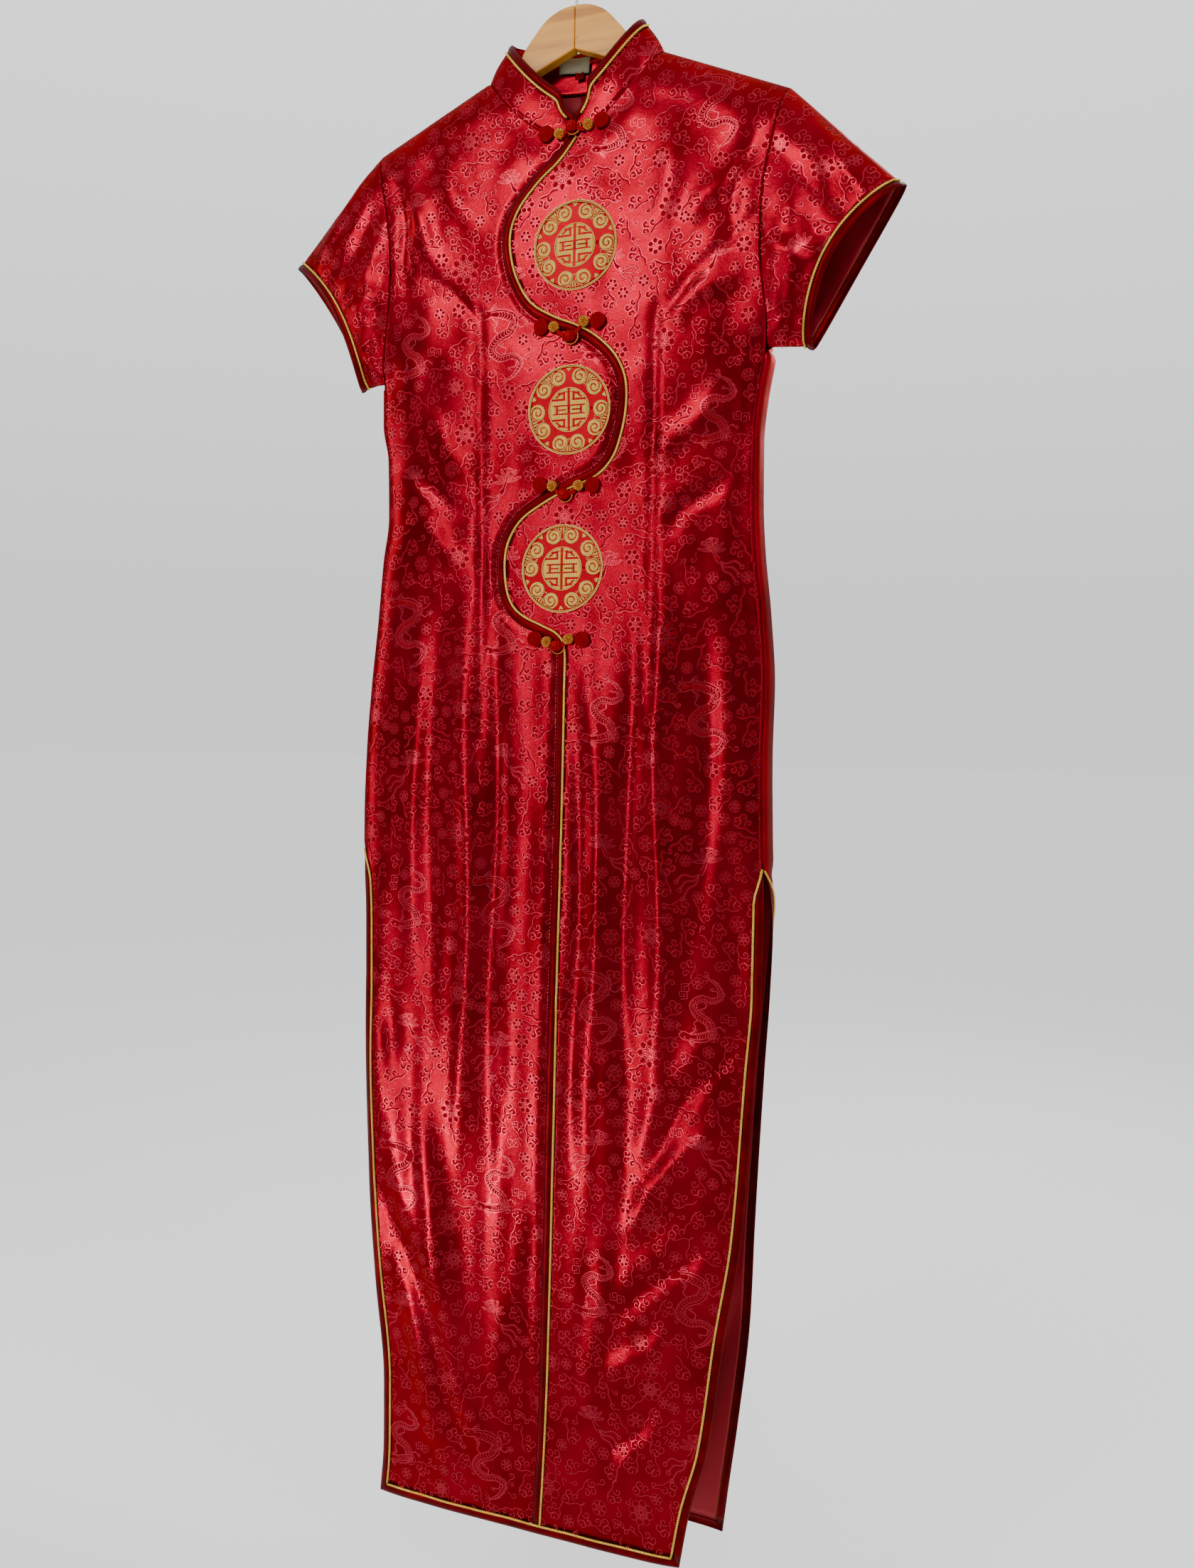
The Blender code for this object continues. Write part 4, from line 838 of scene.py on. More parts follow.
def cuff_loop(sign, beyond=0.0, per_side=10):
    top = np.array(CUFF_TOP)
    along = np.array(CUFF_UNDER) - top
    across = np.array([-along[1], along[0]]) / np.linalg.norm(along)
    loop = []
    for k in range(2 * per_side):
        front = k <= per_side
        t = k / per_side if front else (2 * per_side - k) / per_side
        arch = max(math.sin(math.pi * t), 0.0)
        bow = (CUFF_BOW_FRONT if front else CUFF_BOW_BACK) * arch ** 0.8
        level = (CUFF_FRONT_Y if front else CUFF_BACK_Y) * arch ** 0.5
        flat = top + along * t + across * (bow - beyond)
        loop.append((sign * flat[0], level, NECK_Z - flat[1]))
    return np.array(loop)


SLEEVE_SPAN = 5
SLEEVE_RINGS = 34
# Place round the sleeve, slope, height and width of each crease
SLEEVE_CREASES = ((0.10, 0.75, 0.0030, 0.05), (0.32, 0.55, -0.0026, 0.06), (0.55, 0.35, 0.0024, 0.05),
                  (0.78, 0.60, -0.0022, 0.06))


def sleeve(name, sign):
    start = smooth_curve(armhole_loop(sign), SLEEVE_SPAN, closed=True)
    end = cuff_loop(sign, 0.0, 10 * SLEEVE_SPAN)
    count = len(start)
    around = np.arange(count) / count
    grid = []
    for t in np.linspace(0.0, 1.0, SLEEVE_RINGS):
        line = mix(start, end, t)
        line[:, 1] *= 1.0 + 0.22 * math.sin(math.pi * t)
        calm = math.sin(math.pi * t) ** 0.7
        for place, slope, height, width in SLEEVE_CREASES:
            middle = place * 0.5 + 0.10 * slope * (t - 0.5)
            for shift, facing in ((middle, -1.0), (1.0 - middle, 1.0)):
                line[:, 1] += facing * height * calm * np.exp(-((around - shift) / (0.5 * width)) ** 2)
        line[:, 1] -= 0.0011 * calm * HILLS.at(around * 40.0, np.full(count, t * 5.0 + sign))
        grid.append(line)
    points = np.array(grid)
    middle = points.mean(axis=(0, 1))
    ring_length = np.linalg.norm(np.diff(np.vstack([start, start[:1]]), axis=0), axis=1)
    across = np.concatenate([[0.0], np.cumsum(ring_length)[:-1]])
    drop = np.linspace(0.0, 0.115, SLEEVE_RINGS)
    made, verts, faces = cloth("sleeve_" + name + "_cloth", points, lambda centres: centres - middle, "brocade",
                               CLOTH_THICK, "sleeve_" + name, closed=True,
                               uvs=flat_uv(across[None, :], -drop[:, None]))
    keep_surface("sleeve_" + name, verts, faces)
    width = float(np.sum(ring_length))
    cuff_trim(name, sign)


def strip(name, near, far, dome, closed=False, outward=FRONT, inside=False):
    """Padded binding strip between two lines, each given with its normals, domed across its width."""
    shares = np.linspace(0.0, 1.0, 7)
    columns = []
    for share in shares:
        arch = math.sin(math.pi * share)
        lift = dome * arch ** 0.7 - 0.0004 * (1.0 - arch)
        columns.append(mix(near[0], far[0], share) + mix(near[1], far[1], share) * lift)
    points = np.stack(columns, axis=1)
    if closed:
        points = np.concatenate([points, points[:1]], axis=0)
    length = lengths_along(points[:, 3])
    made, _, _ = cloth(name + "_cloth", points, outward, "satin", CLOTH_THICK, None if inside else name,
                       uvs=flat_uv(length[:, None], shares[None, :] * BINDING))


def piping(name, cord, sides=6, closed=False):
    add_tubes(name + "_cord", [tube_mesh(cord, PIPING_R, sides, closed)], "gold_cord", name)


def ring_normals(ring, axis):
    middle = ring.mean(axis=0)
    out = np.cross(np.roll(ring, -1, axis=0) - np.roll(ring, 1, axis=0), axis)
    out /= np.linalg.norm(out, axis=1, keepdims=True)
    flip = np.sum(out * (ring - middle), axis=1) < 0.0
    out[flip] *= -1.0
    return out


def cuff_trim(name, sign):
    near = cuff_loop(sign, SEAM, 40)
    far = cuff_loop(sign, BINDING, 40)
    normal = ring_normals(near, far[0] - near[0])
    middle = near.mean(axis=0)
    strip("cuff_binding_" + name, (near, normal), (far, normal), 0.0007,
          closed=True, outward=lambda centres: centres - middle)
    piping("cuff_piping_" + name, near + normal * 0.0009, closed=True)


# Edges: bindings and gold cord
def edge_trim(rows):
    x, drop, nx, nd = (column[3:] for column in rows)
    low = rows[1][-1] - SEAM
    near, far = (front_surface(x - nx * away, np.minimum(drop - nd * away, low)) for away in (SEAM, BINDING))
    for line, _ in (near, far):
        line[-1, 2] -= TUCK
    strip("edge_binding", near, far, 0.0007)
    cord, _ = front_surface(x, drop, 0.0008)
    cord[-1, 2] += 0.0015
    piping("edge_piping", cord, 7)


def front_slit_trim(name, sign, rows):
    column = "front_" + name
    _, drop, inner = side_of(rows, column)
    keep = drop > SLIT_TOP + 0.004
    drop = drop[keep]
    inner = inner[keep]
    tip = drop.copy()
    tip[-1] = FRONT_HEM
    strip("binding_front_slit_" + name, front_surface(sign * (inner + 1.5 * SEAM), drop),
          front_surface(sign * SIDE[column](tip), tip), 0.0006)
    cord, _ = front_surface(sign * inner, drop, 0.0008)
    cord[-1, 2] += 0.0010
    piping("piping_front_slit_" + name, cord)


def front_hem_trim(rows):
    share = np.linspace(0.0, 1.0, 70)
    left = side_of(rows, "front_left")[2][-1]
    right = -side_of(rows, "front_right")[2][-1]

    def line(start, end, drop, out=0.0):
        return front_surface(mix(start, end, share), np.full(70, drop), out)

    strip("binding_front_hem", line(right - TUCK, left + TUCK, rows[1][-1] + 0.3 * SEAM),
          line(-float(SIDE["front_right"](FRONT_HEM)), float(SIDE["front_left"](FRONT_HEM)), FRONT_HEM),
          0.0006)
    piping("piping_front_hem", line(right, left, rows[1][-1] + 0.5 * SEAM, 0.0007)[0])


def back_edge(name, near, far):
    near = np.array(near)
    far = np.array(far)
    normal = np.cross(np.gradient(near, axis=0), far - near)
    normal /= np.linalg.norm(normal, axis=1, keepdims=True)
    if normal[:, 1].mean() < 0.0:
        normal = -normal
    strip("binding_back_" + name, (near, normal), (far, normal), 0.0006, outward=BACK)
    piping("piping_back_" + name, near + normal * 0.0008)


def back_trim():
    levels = np.linspace(SLIT_TOP + 0.006, BACK_HEM - BINDING, 100) - NECK_BACK
    hem = BACK_HEM - NECK_BACK
    for name in ("left", "right"):
        column = "back_" + name
        near = [back_row(level, column, float(slit_inset(level + NECK_BACK)) - SEAM, 40)[-1]
                for level in levels]
        far = [back_row(level, column, 0.0, 40)[-1] for level in [*levels[:-1], hem]]
        back_edge("slit_" + name, near, far)
    near, far = (np.concatenate([back_row(level, "back_right", inset, 40)[::-1],
                                 back_row(level, "back_left", inset, 40)[1:]])
                 for level, inset in ((hem - BINDING + 0.3 * SEAM, BINDING - TUCK), (hem, 0.0)))
    back_edge("hem", near, far)


# Collar
def collar_line():
    """Base points, upward directions and heights from the wearer's right end round to the left one."""
    xs = np.concatenate([np.linspace(COLLAR_MEET, 0.06, 26), np.linspace(0.062, NECK_HALF - 0.0002, 16)])

    def half(x, y, neck, lean):
        drop = neck_drop(x, neck)
        base = np.stack([x, y * shoulder_rise(drop), NECK_Z - drop + COLLAR_GAP], axis=1)
        if lean is None:
            lean = COLLAR_LEAN * smoothstep((lengths_along(base) - 0.006) / 0.034) * np.sign(x[-1])
        return base, np.stack([-lean, np.zeros(len(x)), np.sqrt(1.0 - lean ** 2)], axis=1)

    def front_half(sign):
        start = COLLAR_MEET + sign * SEAM
        x = mix(start, sign * NECK_HALF, (xs - COLLAR_MEET) / (NECK_HALF - COLLAR_MEET))
        base, up = half(x, -0.018, NECK_FRONT, None)
        run = lengths_along(base)
        return base, up, COLLAR_H * (1.0 - 0.52 * np.maximum(1.0 - run / COLLAR_ROUND, 0.0) ** 2.2), run

    x = np.linspace(NECK_HALF, -NECK_HALF, 61)[-2:0:-1]
    base, up = half(x, 0.0175, NECK_BACK, COLLAR_LEAN * np.sign(x) * (np.abs(x) / NECK_HALF) ** 1.5)
    right = front_half(-1.0)
    left = front_half(1.0)
    back = (base, up, np.full(len(x), COLLAR_H), np.full(len(x), 1.0))
    whole = [np.concatenate([a, b, c[::-1]]) for a, b, c in zip(right, back, left)]
    for k in range(3):
        whole[1][:, k] = np.convolve(np.pad(whole[1][:, k], 2, mode="edge"), np.ones(5) / 5.0, mode="valid")
    return whole


def collar():
    base, up, height, run = collar_line()
    normal = np.cross(up, np.gradient(base, axis=0))
    normal /= np.linalg.norm(normal, axis=1, keepdims=True)
    reach = height - np.minimum(BINDING, 0.45 * height)
    count = len(base)
    uneven = HILLS.at(np.arange(count) * 0.14, np.full(count, 2.5))
    columns = []
    for share in np.concatenate([[-0.030], np.linspace(0.125, 1.0, 8)]):
        bow = 0.0012 * math.sin(math.pi * share) * (0.6 + 0.8 * uneven)
        columns.append(base + up * (reach * share)[:, None] + normal * bow[:, None])
    points = np.stack(columns, axis=1)
    length = lengths_along(points[:, 4])

    def outward(centres):
        return centres * (0.2, 1.0, 0.0)

    made, verts, faces = cloth("collar_cloth", points, outward, "brocade", 0.0016, "collar",
                               uvs=flat_uv(length[:, None], np.linspace(0, 1, 9)[None, :] * 0.03))
    keep_surface("collar", verts, faces)
    near = base + up * (reach + SEAM)[:, None]
    far = base + up * height[:, None]
    strip("collar_binding", (near, normal), (far, normal), 0.0008, outward=outward)
    strip("collar_binding_inside", (near - normal * 0.0019, -normal), (far - normal * 0.0012, -normal), 0.0002,
          outward=lambda centres: -outward(centres), inside=True)
    piping("collar_piping", (base + up * reach[:, None] + normal * 0.0008)[run > 0.006], 7)


# Frogs
def local_frame(x, drop):
    place, normal = front_surface(np.array(x), np.array(drop))
    right = np.cross(np.array([0.0, 0.0, 1.0]), normal)
    right *= math.copysign(1.0, right[0]) / np.linalg.norm(right)
    up = np.cross(normal, right)
    return place, right, up * math.copysign(1.0, up[2]), normal


def on_frame(local, at):
    place, right, up, normal = at
    return place + local[:, :1] * right + local[:, 1:2] * up + local[:, 2:3] * normal


def coil(at, radius, turns, cord, tall, seat, hand, phase):
    """Ribbon rolled on edge, as a spiral tube taller than it is wide."""
    k = np.linspace(0.0, 1.0, int(turns * 26))
    turn = phase + hand * 2.0 * np.pi * turns * k
    reach = mix(cord * 0.4, radius - cord, k)
    dome = 0.0006 * (1.0 - k ** 2)
    local = np.stack([reach * np.cos(turn), reach * np.sin(turn), seat + cord * tall + dome], axis=1)
    return tube_mesh(on_frame(local, at), cord, 8, flatten=(at[3], tall))


def knot_parts(at, radius):
    """Ball knot: a cord that wraps round a ball in three crossing loops."""
    k = np.linspace(0.0, 2.0 * np.pi, 150, endpoint=False)
    wobble = 1.0 + 0.10 * np.cos(6.0 * k)
    local = np.stack([np.sin(2.0 * k) * np.cos(3.0 * k) * wobble, np.sin(2.0 * k) * np.sin(3.0 * k) * wobble,
                      np.cos(2.0 * k) * 0.8], axis=1) * (radius - 0.0010)
    local[:, 2] += radius * 0.8
    parts = [tube_mesh(on_frame(local, at), 0.0015, 8, True)]
    for tilt in (0.35, 1.4, 2.45):
        c, s = np.cos(k[::3]), np.sin(k[::3])
        ring = np.stack([c, s * math.cos(tilt), s * math.sin(tilt)], axis=1) * (radius - 0.0014)
        ring[:, 2] = ring[:, 2] * 0.8 + radius * 0.8
        parts.append(tube_mesh(on_frame(ring, at), 0.0014, 8, True))
    return parts


def cord_between(a, b, at):
    t = np.linspace(0.0, 1.0, 16)
    line = mix(np.array(a), np.array(b), t[:, None])
    line[:, 1] -= 0.0006 * np.sin(np.pi * t)
    return tube_mesh(on_frame(line, at), 0.0011, 7)


def frogs():
    for number, values in enumerate(FROGS, start=1):
        row = dict(zip(FROG_COLUMNS, values))
        tag = "frog_%d_" % number
        at = local_frame(row["x"], row["drop"])
        knot = knot_parts(at, 0.0052)
        for hand, sign in (("right", -1.0), ("left", 1.0)):
            for kind, radius, turns, cord in (("gold", GOLD_COIL_R, 4.3, 0.00058),
                                              ("red", RED_COIL_R, 5.6, 0.00064)):
                x = row[kind + "_" + hand + "_x"]
                up = row[kind + "_" + hand + "_up"]
                spot = local_frame(row["x"] + x, row["drop"] - up)
                seat = 0.0022 if kind == "gold" and hand == "left" and number > 1 else 0.0006
                name = tag + kind + "_" + hand
                add_tubes(name + "_coil", [coil(spot, radius, turns, cord, 2.5, seat, sign, 0.6 * number)],
                          kind + "_cord", name)
                if kind == "red":
                    continue
                rim = coil(spot, radius + 0.0001, turns, 0.00022, 1.0, seat + cord * 4.6, sign, 0.6 * number)
                add_tubes(name + "_shade", [rim], "red_cord")
                start = (x - sign * GOLD_COIL_R * 0.6, up - GOLD_COIL_R * 0.5)
                end = (0.0022, 0.0016) if hand == "left" else (-0.0030, 0.0012)
                for lower_start, lower_end in ((0.0, 0.0), (0.0018, 0.0022)):
                    knot.append(cord_between((start[0], start[1] - lower_start, 0.0022),
                                             (end[0], end[1] - lower_end, 0.0030), at))
        turn = np.linspace(3.1, 7.0, 40)
        loop = np.stack([0.0012 + 0.0062 * np.cos(turn), -0.0002 + 0.0062 * np.sin(turn),
                         np.full(40, 0.0016)], axis=1)
        knot.append(tube_mesh(on_frame(loop, at), 0.0012, 7))
        add_tubes(tag + "knot_cord", knot, "red_cord", tag + "knot")
        thread = loop * (1.10, 1.10, 1.0) + (0.0, 0.0, 0.0012)
        add_tubes(tag + "edge_thread", [tube_mesh(on_frame(thread, at), 0.00028, 6)], "gold_cord")


# Embroidered roundels
THREAD_PITCH = 0.00062
LOBES = 5
CURL_PITCH = 0.095
BAR_HALF = 0.045


def fret_mask(u, v):
    """Gold cells of the middle disc: a symmetric squared fret, in shares of its radius."""
    a = np.abs(u)
    b = np.abs(v)
    disc = u * u + v * v < 1.0
    spine = a < 0.055

    def bar(across, place, along, low, high):
        return (np.abs(across - place) < BAR_HALF) & (along > low) & (along < high)

    bars = bar(b, 0.20, a, -1.0, 0.80) | bar(b, 0.47, a, 0.18, 0.90)
    middle = bar(b, 0.0, a, 0.16, 0.62)
    posts = bar(a, 0.62, b, -1.0, 0.20) | bar(a, 0.24, b, 0.47, 0.80)
    caps = bar(b, 0.76, a, 0.24, 0.55)
    ring = np.abs(np.hypot(u, v) - 0.86) < 0.035
    inner = (a < 0.86) & (b < 0.86)
    return disc & ~(spine | bars | middle | posts | caps | (ring & inner & (b > 0.55)))


def lobe_mask(u, v, first):
    """Gold of the winged lobes and the small wedges between them, in shares of the roundel."""
    reach = np.hypot(u, v)
    angle = np.arctan2(v, u)
    mask = np.zeros(u.shape, dtype=bool)
    for k in range(LOBES):
        centre = first + FULL_TURN * k / LOBES
        away = (angle - centre + math.pi) % FULL_TURN - math.pi
        px = reach * np.cos(away)
        py = reach * np.sin(away)
        wing = np.abs(py)
        d = np.hypot(px - 0.735, wing - 0.215)
        curl = np.arctan2(wing - 0.215, px - 0.735)
        swirl = np.abs((d + CURL_PITCH * curl / FULL_TURN) % CURL_PITCH - 0.5 * CURL_PITCH) < 0.011
        wings = (d < 0.185) & ~(swirl & (d < 0.160) & (d > 0.03))
        body = (wing < 0.19) & (px > 0.63) & (d >= 0.200)
        veins = (wing > 0.055) & (wing < 0.075) & (px > 0.70) | (wing < 0.010)
        notch = np.hypot(px - 0.60, wing - 0.045) < 0.040
        mask |= wings | (body & ~veins & ~notch)
        turn = centre + math.pi / LOBES
        gap = (angle - turn + math.pi) % FULL_TURN - math.pi
        qx = reach * np.cos(gap)
        qy = np.abs(reach * np.sin(gap))
        mask |= (qx > 0.84) & (qy < (qx - 0.82) * 0.62)
    return mask & (reach < 0.925) & (reach > 0.52)


def thread_runs(mask, radius, angle, spread):
    """Straight thread stretches that fill a mask: start, end and side shift in the roundel's plane."""
    runs = []
    across = np.arange(-radius, radius, THREAD_PITCH)
    along = np.arange(-radius, radius, 0.00025)
    c, s = math.cos(angle), math.sin(angle)
    for shift in across:
        u = (along * c - shift * s) / spread
        v = (along * s + shift * c) / spread
        inside = mask(u, v)
        change = np.diff(np.concatenate([[0], inside.astype(int), [0]]))
        for a, b in zip(np.flatnonzero(change == 1), np.flatnonzero(change == -1)):
            if b - a > 2:
                runs.append((along[a], along[b - 1], shift, c, s))
    return runs


def roundel(number, x_mid, drop_mid, lobe_up):
    parts = []
    first = math.pi / 2.0 if lobe_up else -math.pi / 2.0
    centre_r = MEDALLION_R * 0.47
    jobs = ((fret_mask, centre_r, 0.0, centre_r),
            (lambda u, v: lobe_mask(u, v, first) & (u >= 0), MEDALLION_R, 0.9, MEDALLION_R),
            (lambda u, v: lobe_mask(u, v, first) & (u < 0), MEDALLION_R, -0.9, MEDALLION_R))
    flat = []
    ends = [0]
    for mask, radius, angle, spread in jobs:
        for start, end, shift, c, s in thread_runs(mask, radius, angle, spread):
            steps = max(3, int((end - start) / 0.0016))
            along = np.linspace(start, end, steps)
            t = np.linspace(-1.0, 1.0, steps)
            flat.append(np.stack([along * c - shift * s, along * s + shift * c,
                                  0.0005 + 0.00045 * (1.0 - t ** 4)], axis=1))
            ends.append(ends[-1] + steps)
    flat = np.concatenate(flat)
    cords, _ = front_surface(x_mid + flat[:, 0], drop_mid - flat[:, 1], flat[:, 2])
    for a, b in zip(ends[:-1], ends[1:]):
        parts.append(tube_mesh(cords[a:b], THREAD_PITCH * 0.52, 4))
    turn = np.linspace(0.0, 2.0 * np.pi, 120, endpoint=False)
    for radius, cord in ((0.985, 0.00042), (0.955, 0.00026)):
        x = x_mid + MEDALLION_R * radius * np.cos(turn)
        drop = drop_mid + MEDALLION_R * radius * np.sin(turn)
        ring, _ = front_surface(x, drop, 0.0007)
        parts.append(tube_mesh(ring, cord, 6, True))
    ring, _ = front_surface(x_mid + centre_r * 1.03 * np.cos(turn), drop_mid + centre_r * 1.03 * np.sin(turn),
                            0.0008)
    parts.append(tube_mesh(ring, 0.00032, 6, True))
    name = "medallion_%d" % number
    add_tubes(name + "_threads", parts, "gold_thread", name)
    radii = np.linspace(0.02, 0.985, 12)
    turns = np.linspace(0.0, 2.0 * np.pi, 64)
    x = x_mid + MEDALLION_R * radii[:, None] * np.cos(turns)[None, :]
    drop = drop_mid + MEDALLION_R * radii[:, None] * np.sin(turns)[None, :]
    points, _ = front_surface(x, drop, np.full(x.shape, 0.0004))
    ground, verts, faces = cloth(name + "_ground", points, FRONT, "roundel_ground", 0.0003, None,
                                 uvs=flat_uv(x, -drop))


# Woven figures: fills and outlines in millimetres, as paths with widths
def arc_points(cx, cy, radius, start, end, count):
    turn = np.linspace(start, end, count)
    return np.stack([cx + radius * np.cos(turn), cy + radius * np.sin(turn)], axis=1)


def spiral_points(cx, cy, radius, turns, start, hand=1.0, count=26):
    k = np.linspace(0.0, 1.0, count)
    turn = start + hand * FULL_TURN * turns * k
    reach = radius * (1.0 - 0.88 * k)
    return np.stack([cx + reach * np.cos(turn), cy + reach * np.sin(turn)], axis=1)


def turned(x, y, angle):
    """Points turned about the origin."""
    c, s = math.cos(angle), math.sin(angle)
    return np.stack([x * c - y * s, x * s + y * c], axis=1)


def directions(path):
    """Unit directions along a path and across it."""
    run = np.gradient(path, axis=0)
    run /= np.maximum(np.linalg.norm(run, axis=1, keepdims=True), 1e-9)
    return run, np.stack([-run[:, 1], run[:, 0]], axis=1)


def cloud_figure():
    """Three scrolls on a tail."""
    fills = []
    lines = []
    for cx, cy, r, start, hand in ((-4.8, 0.5, 4.0, -1.2, 1.0), (1.0, 4.2, 4.4, -1.6, -1.0),
                                   (6.0, 0.0, 3.6, 4.2, -1.0)):
        fills.append((spiral_points(cx, cy, r * 0.85, 1.1, start, hand, 14), 2.2))
        lines.append((spiral_points(cx, cy, r * 1.1, 1.15, start, hand, 18), 0.7))
    tail = smooth_curve(((-6, -3.6), (-1, -4.8), (5, -4.2), (10, -6.5), (15, -5.0)), 3)
    fills.append((tail, 1.6))
    lines.append((tail - (0.0, 1.0), 0.65))
    lines.append((((-8.6, -1.6), (-6.0, -3.8), (-2.0, -4.0)), 0.65))
    return fills, lines


def curl_figure():
    """One scroll with a short tail."""
    curl = spiral_points(0.0, 0.0, 3.0, 1.0, 0.4, 1.0, 12)
    tail = smooth_curve((curl[0], curl[0] + (0.8, -2.6), curl[0] + (3.2, -4.4)), 3)
    return [(curl * 0.8, 2.0)], [(np.concatenate([tail[::-1], curl[1:]]), 0.65)]


def flower_figure(radius, turn):
    """Petals round a middle, in two rings on a large flower."""
    fills = []
    lines = []
    large = radius > 8.0
    petals = 8 if large else 6
    for ring, reach in (((1.0, radius), (0.5, radius * 0.60)) if large else ((1.0, radius),)):
        for k in range(petals):
            angle = turn + FULL_TURN * (k + (0.5 if ring < 1.0 else 0.0)) / petals
            t = np.linspace(0.0, FULL_TURN, 10 if large else 8)
            lines.append((turned(reach * 0.66 + reach * 0.34 * np.cos(t),
                                 reach * 2.2 / petals * np.sin(t) * (1.0 + 0.2 * np.cos(t)), angle), 0.65))
            if ring == 1.0:
                fills.append((turned(np.linspace(reach * 0.34, reach * 0.95, 5), 0.0, angle),
                              min(3.6, reach * 3.2 / petals)))
    lines.append((arc_points(0, 0, radius * 0.17, 0.0, FULL_TURN, 8), 0.65))
    return fills, lines


def fret_figure():
    """Two linked squared spirals."""
    path = 2.4 * np.array(((0, 0), (1, 0), (1, 1), (-1, 1), (-1, -1), (2, -1), (2, 2), (-1, 2)))
    lines = []
    for turn, shift in ((0.7854, -3.2), (3.927, 3.2)):
        moved = turned(path[:, 0], path[:, 1], turn) + (shift, 0.0)
        lines.append((resample(moved, np.linspace(0.0, lengths_along(moved)[-1], 30)), 0.7))
    return [], lines


def leaf_figure():
    """Leaves on both sides of a stem."""
    stem = smooth_curve(((-12, -3), (-4, 1), (4, 0), (12, 4)), 6)
    fills = []
    lines = [(stem, 0.7)]
    for k, side in ((4, 1), (8, -1), (12, 1), (16, -1)):
        root = stem[k]
        tip = root + (4.5, 5.5 * side)
        for hand in (1.0, -1.0):
            bow = np.array((-side * 1.4, 1.4)) * hand
            lines.append((smooth_curve((root, (root + tip) / 2 + bow, tip), 5), 0.65))
        fills.append((smooth_curve((root, tip), 4), 2.2))
    return fills, lines


def dragon_figure():
    """Winding scaled body with a maned head, clawed legs and a tufted tail."""
    centre = smooth_curve(((-10, 36), (2, 33), (14, 24), (8, 12), (-8, 7), (-17, -3), (-9, -14), (6, -16),
                           (15, -25), (6, -36), (-4, -40)), 9)
    run, side = directions(centre)
    t = np.linspace(0.0, 1.0, len(centre))
    half = (5.4 * (1.0 - t) ** 0.55 * (0.45 + 0.55 * np.minimum(t / 0.12, 1.0)) + 0.5)[:, None]
    fills = [(centre[a:a + 14], float(half[a:a + 14].mean()) * 1.7) for a in range(0, len(centre) - 13, 12)]
    lines = [(centre + side * half, 0.85), (centre - side * half, 0.85), (centre + side * half * 0.45, 0.6)]

    def curve(points, per_span, width):
        lines.append((smooth_curve(points, per_span), width))

    for k in range(6, len(centre) - 6, 2):
        bow = run[k] * float(half[k, 0]) * 0.55
        curve((centre[k] - side[k] * half[k] * 0.95, centre[k] - side[k] * half[k] * 0.2 + bow,
               centre[k] + side[k] * half[k] * 0.45), 3, 0.55)
    for k in range(5, len(centre) - 8, 4):
        root = centre[k] + side[k] * half[k]
        lines.append(((root, root + side[k] * 2.6 - run[k] * 1.6, root + run[k] * 2.6), 0.6))
    for k, hand in ((22, 1), (34, -1), (58, 1), (68, -1)):
        root = centre[k] + side[k] * hand * half[k]
        knee = root + side[k] * hand * 6.0 + run[k] * 2.0
        foot = knee + side[k] * hand * 3.5 - run[k] * 5.0
        curve((root, knee, foot), 5, 1.1)
        for spread in (-0.8, 0.0, 0.8):
            aim = side[k] * hand * math.cos(spread) + run[k] * math.sin(spread)
            curve((foot, foot + aim * 2.6, foot + aim * 4.2 + run[k]), 4, 0.7)
    head = np.array([-15.0, 36.5])

    def head_curve(points, per_span, width):
        curve(head + np.array(points), per_span, width)

    head_curve(((4, 4), (-3, 5), (-8, 2.4), (-9.5, -0.4), (-6, -1.5), (-8.5, -3.5), (-3, -4.6), (4, -4)),
               5, 0.9)
    fills.append((smooth_curve((head + (4, 0), head + (-6, 1)), 5), 6.5))
    lines.append((arc_points(head[0] - 1.5, head[1] + 2.0, 1.2, 0.0, FULL_TURN, 8), 0.6))
    for bend in (3.0, 5.5, 8.0):
        head_curve(((3, 3), (9, 3 + bend * 0.6), (14, 1 + bend)), 5, 0.75)
        head_curve(((3, -3), (8, -6 - bend * 0.5), (12, -4 - bend)), 5, 0.6)
    head_curve(((-8, 3), (-13, 7), (-11, 12), (-16, 15)), 6, 0.6)
    head_curve(((-8, -3), (-14, -6), (-13, -12), (-18, -14)), 6, 0.6)
    tip = centre[-1]
    for spread in (-0.9, -0.45, 0.0, 0.45, 0.9):
        aim = np.array([-math.cos(spread), math.sin(spread)])
        curve((tip, tip + aim * 5.0, tip + aim * 9.0 + (0.0, spread * 2.0)), 5, 0.6)
    return fills, lines


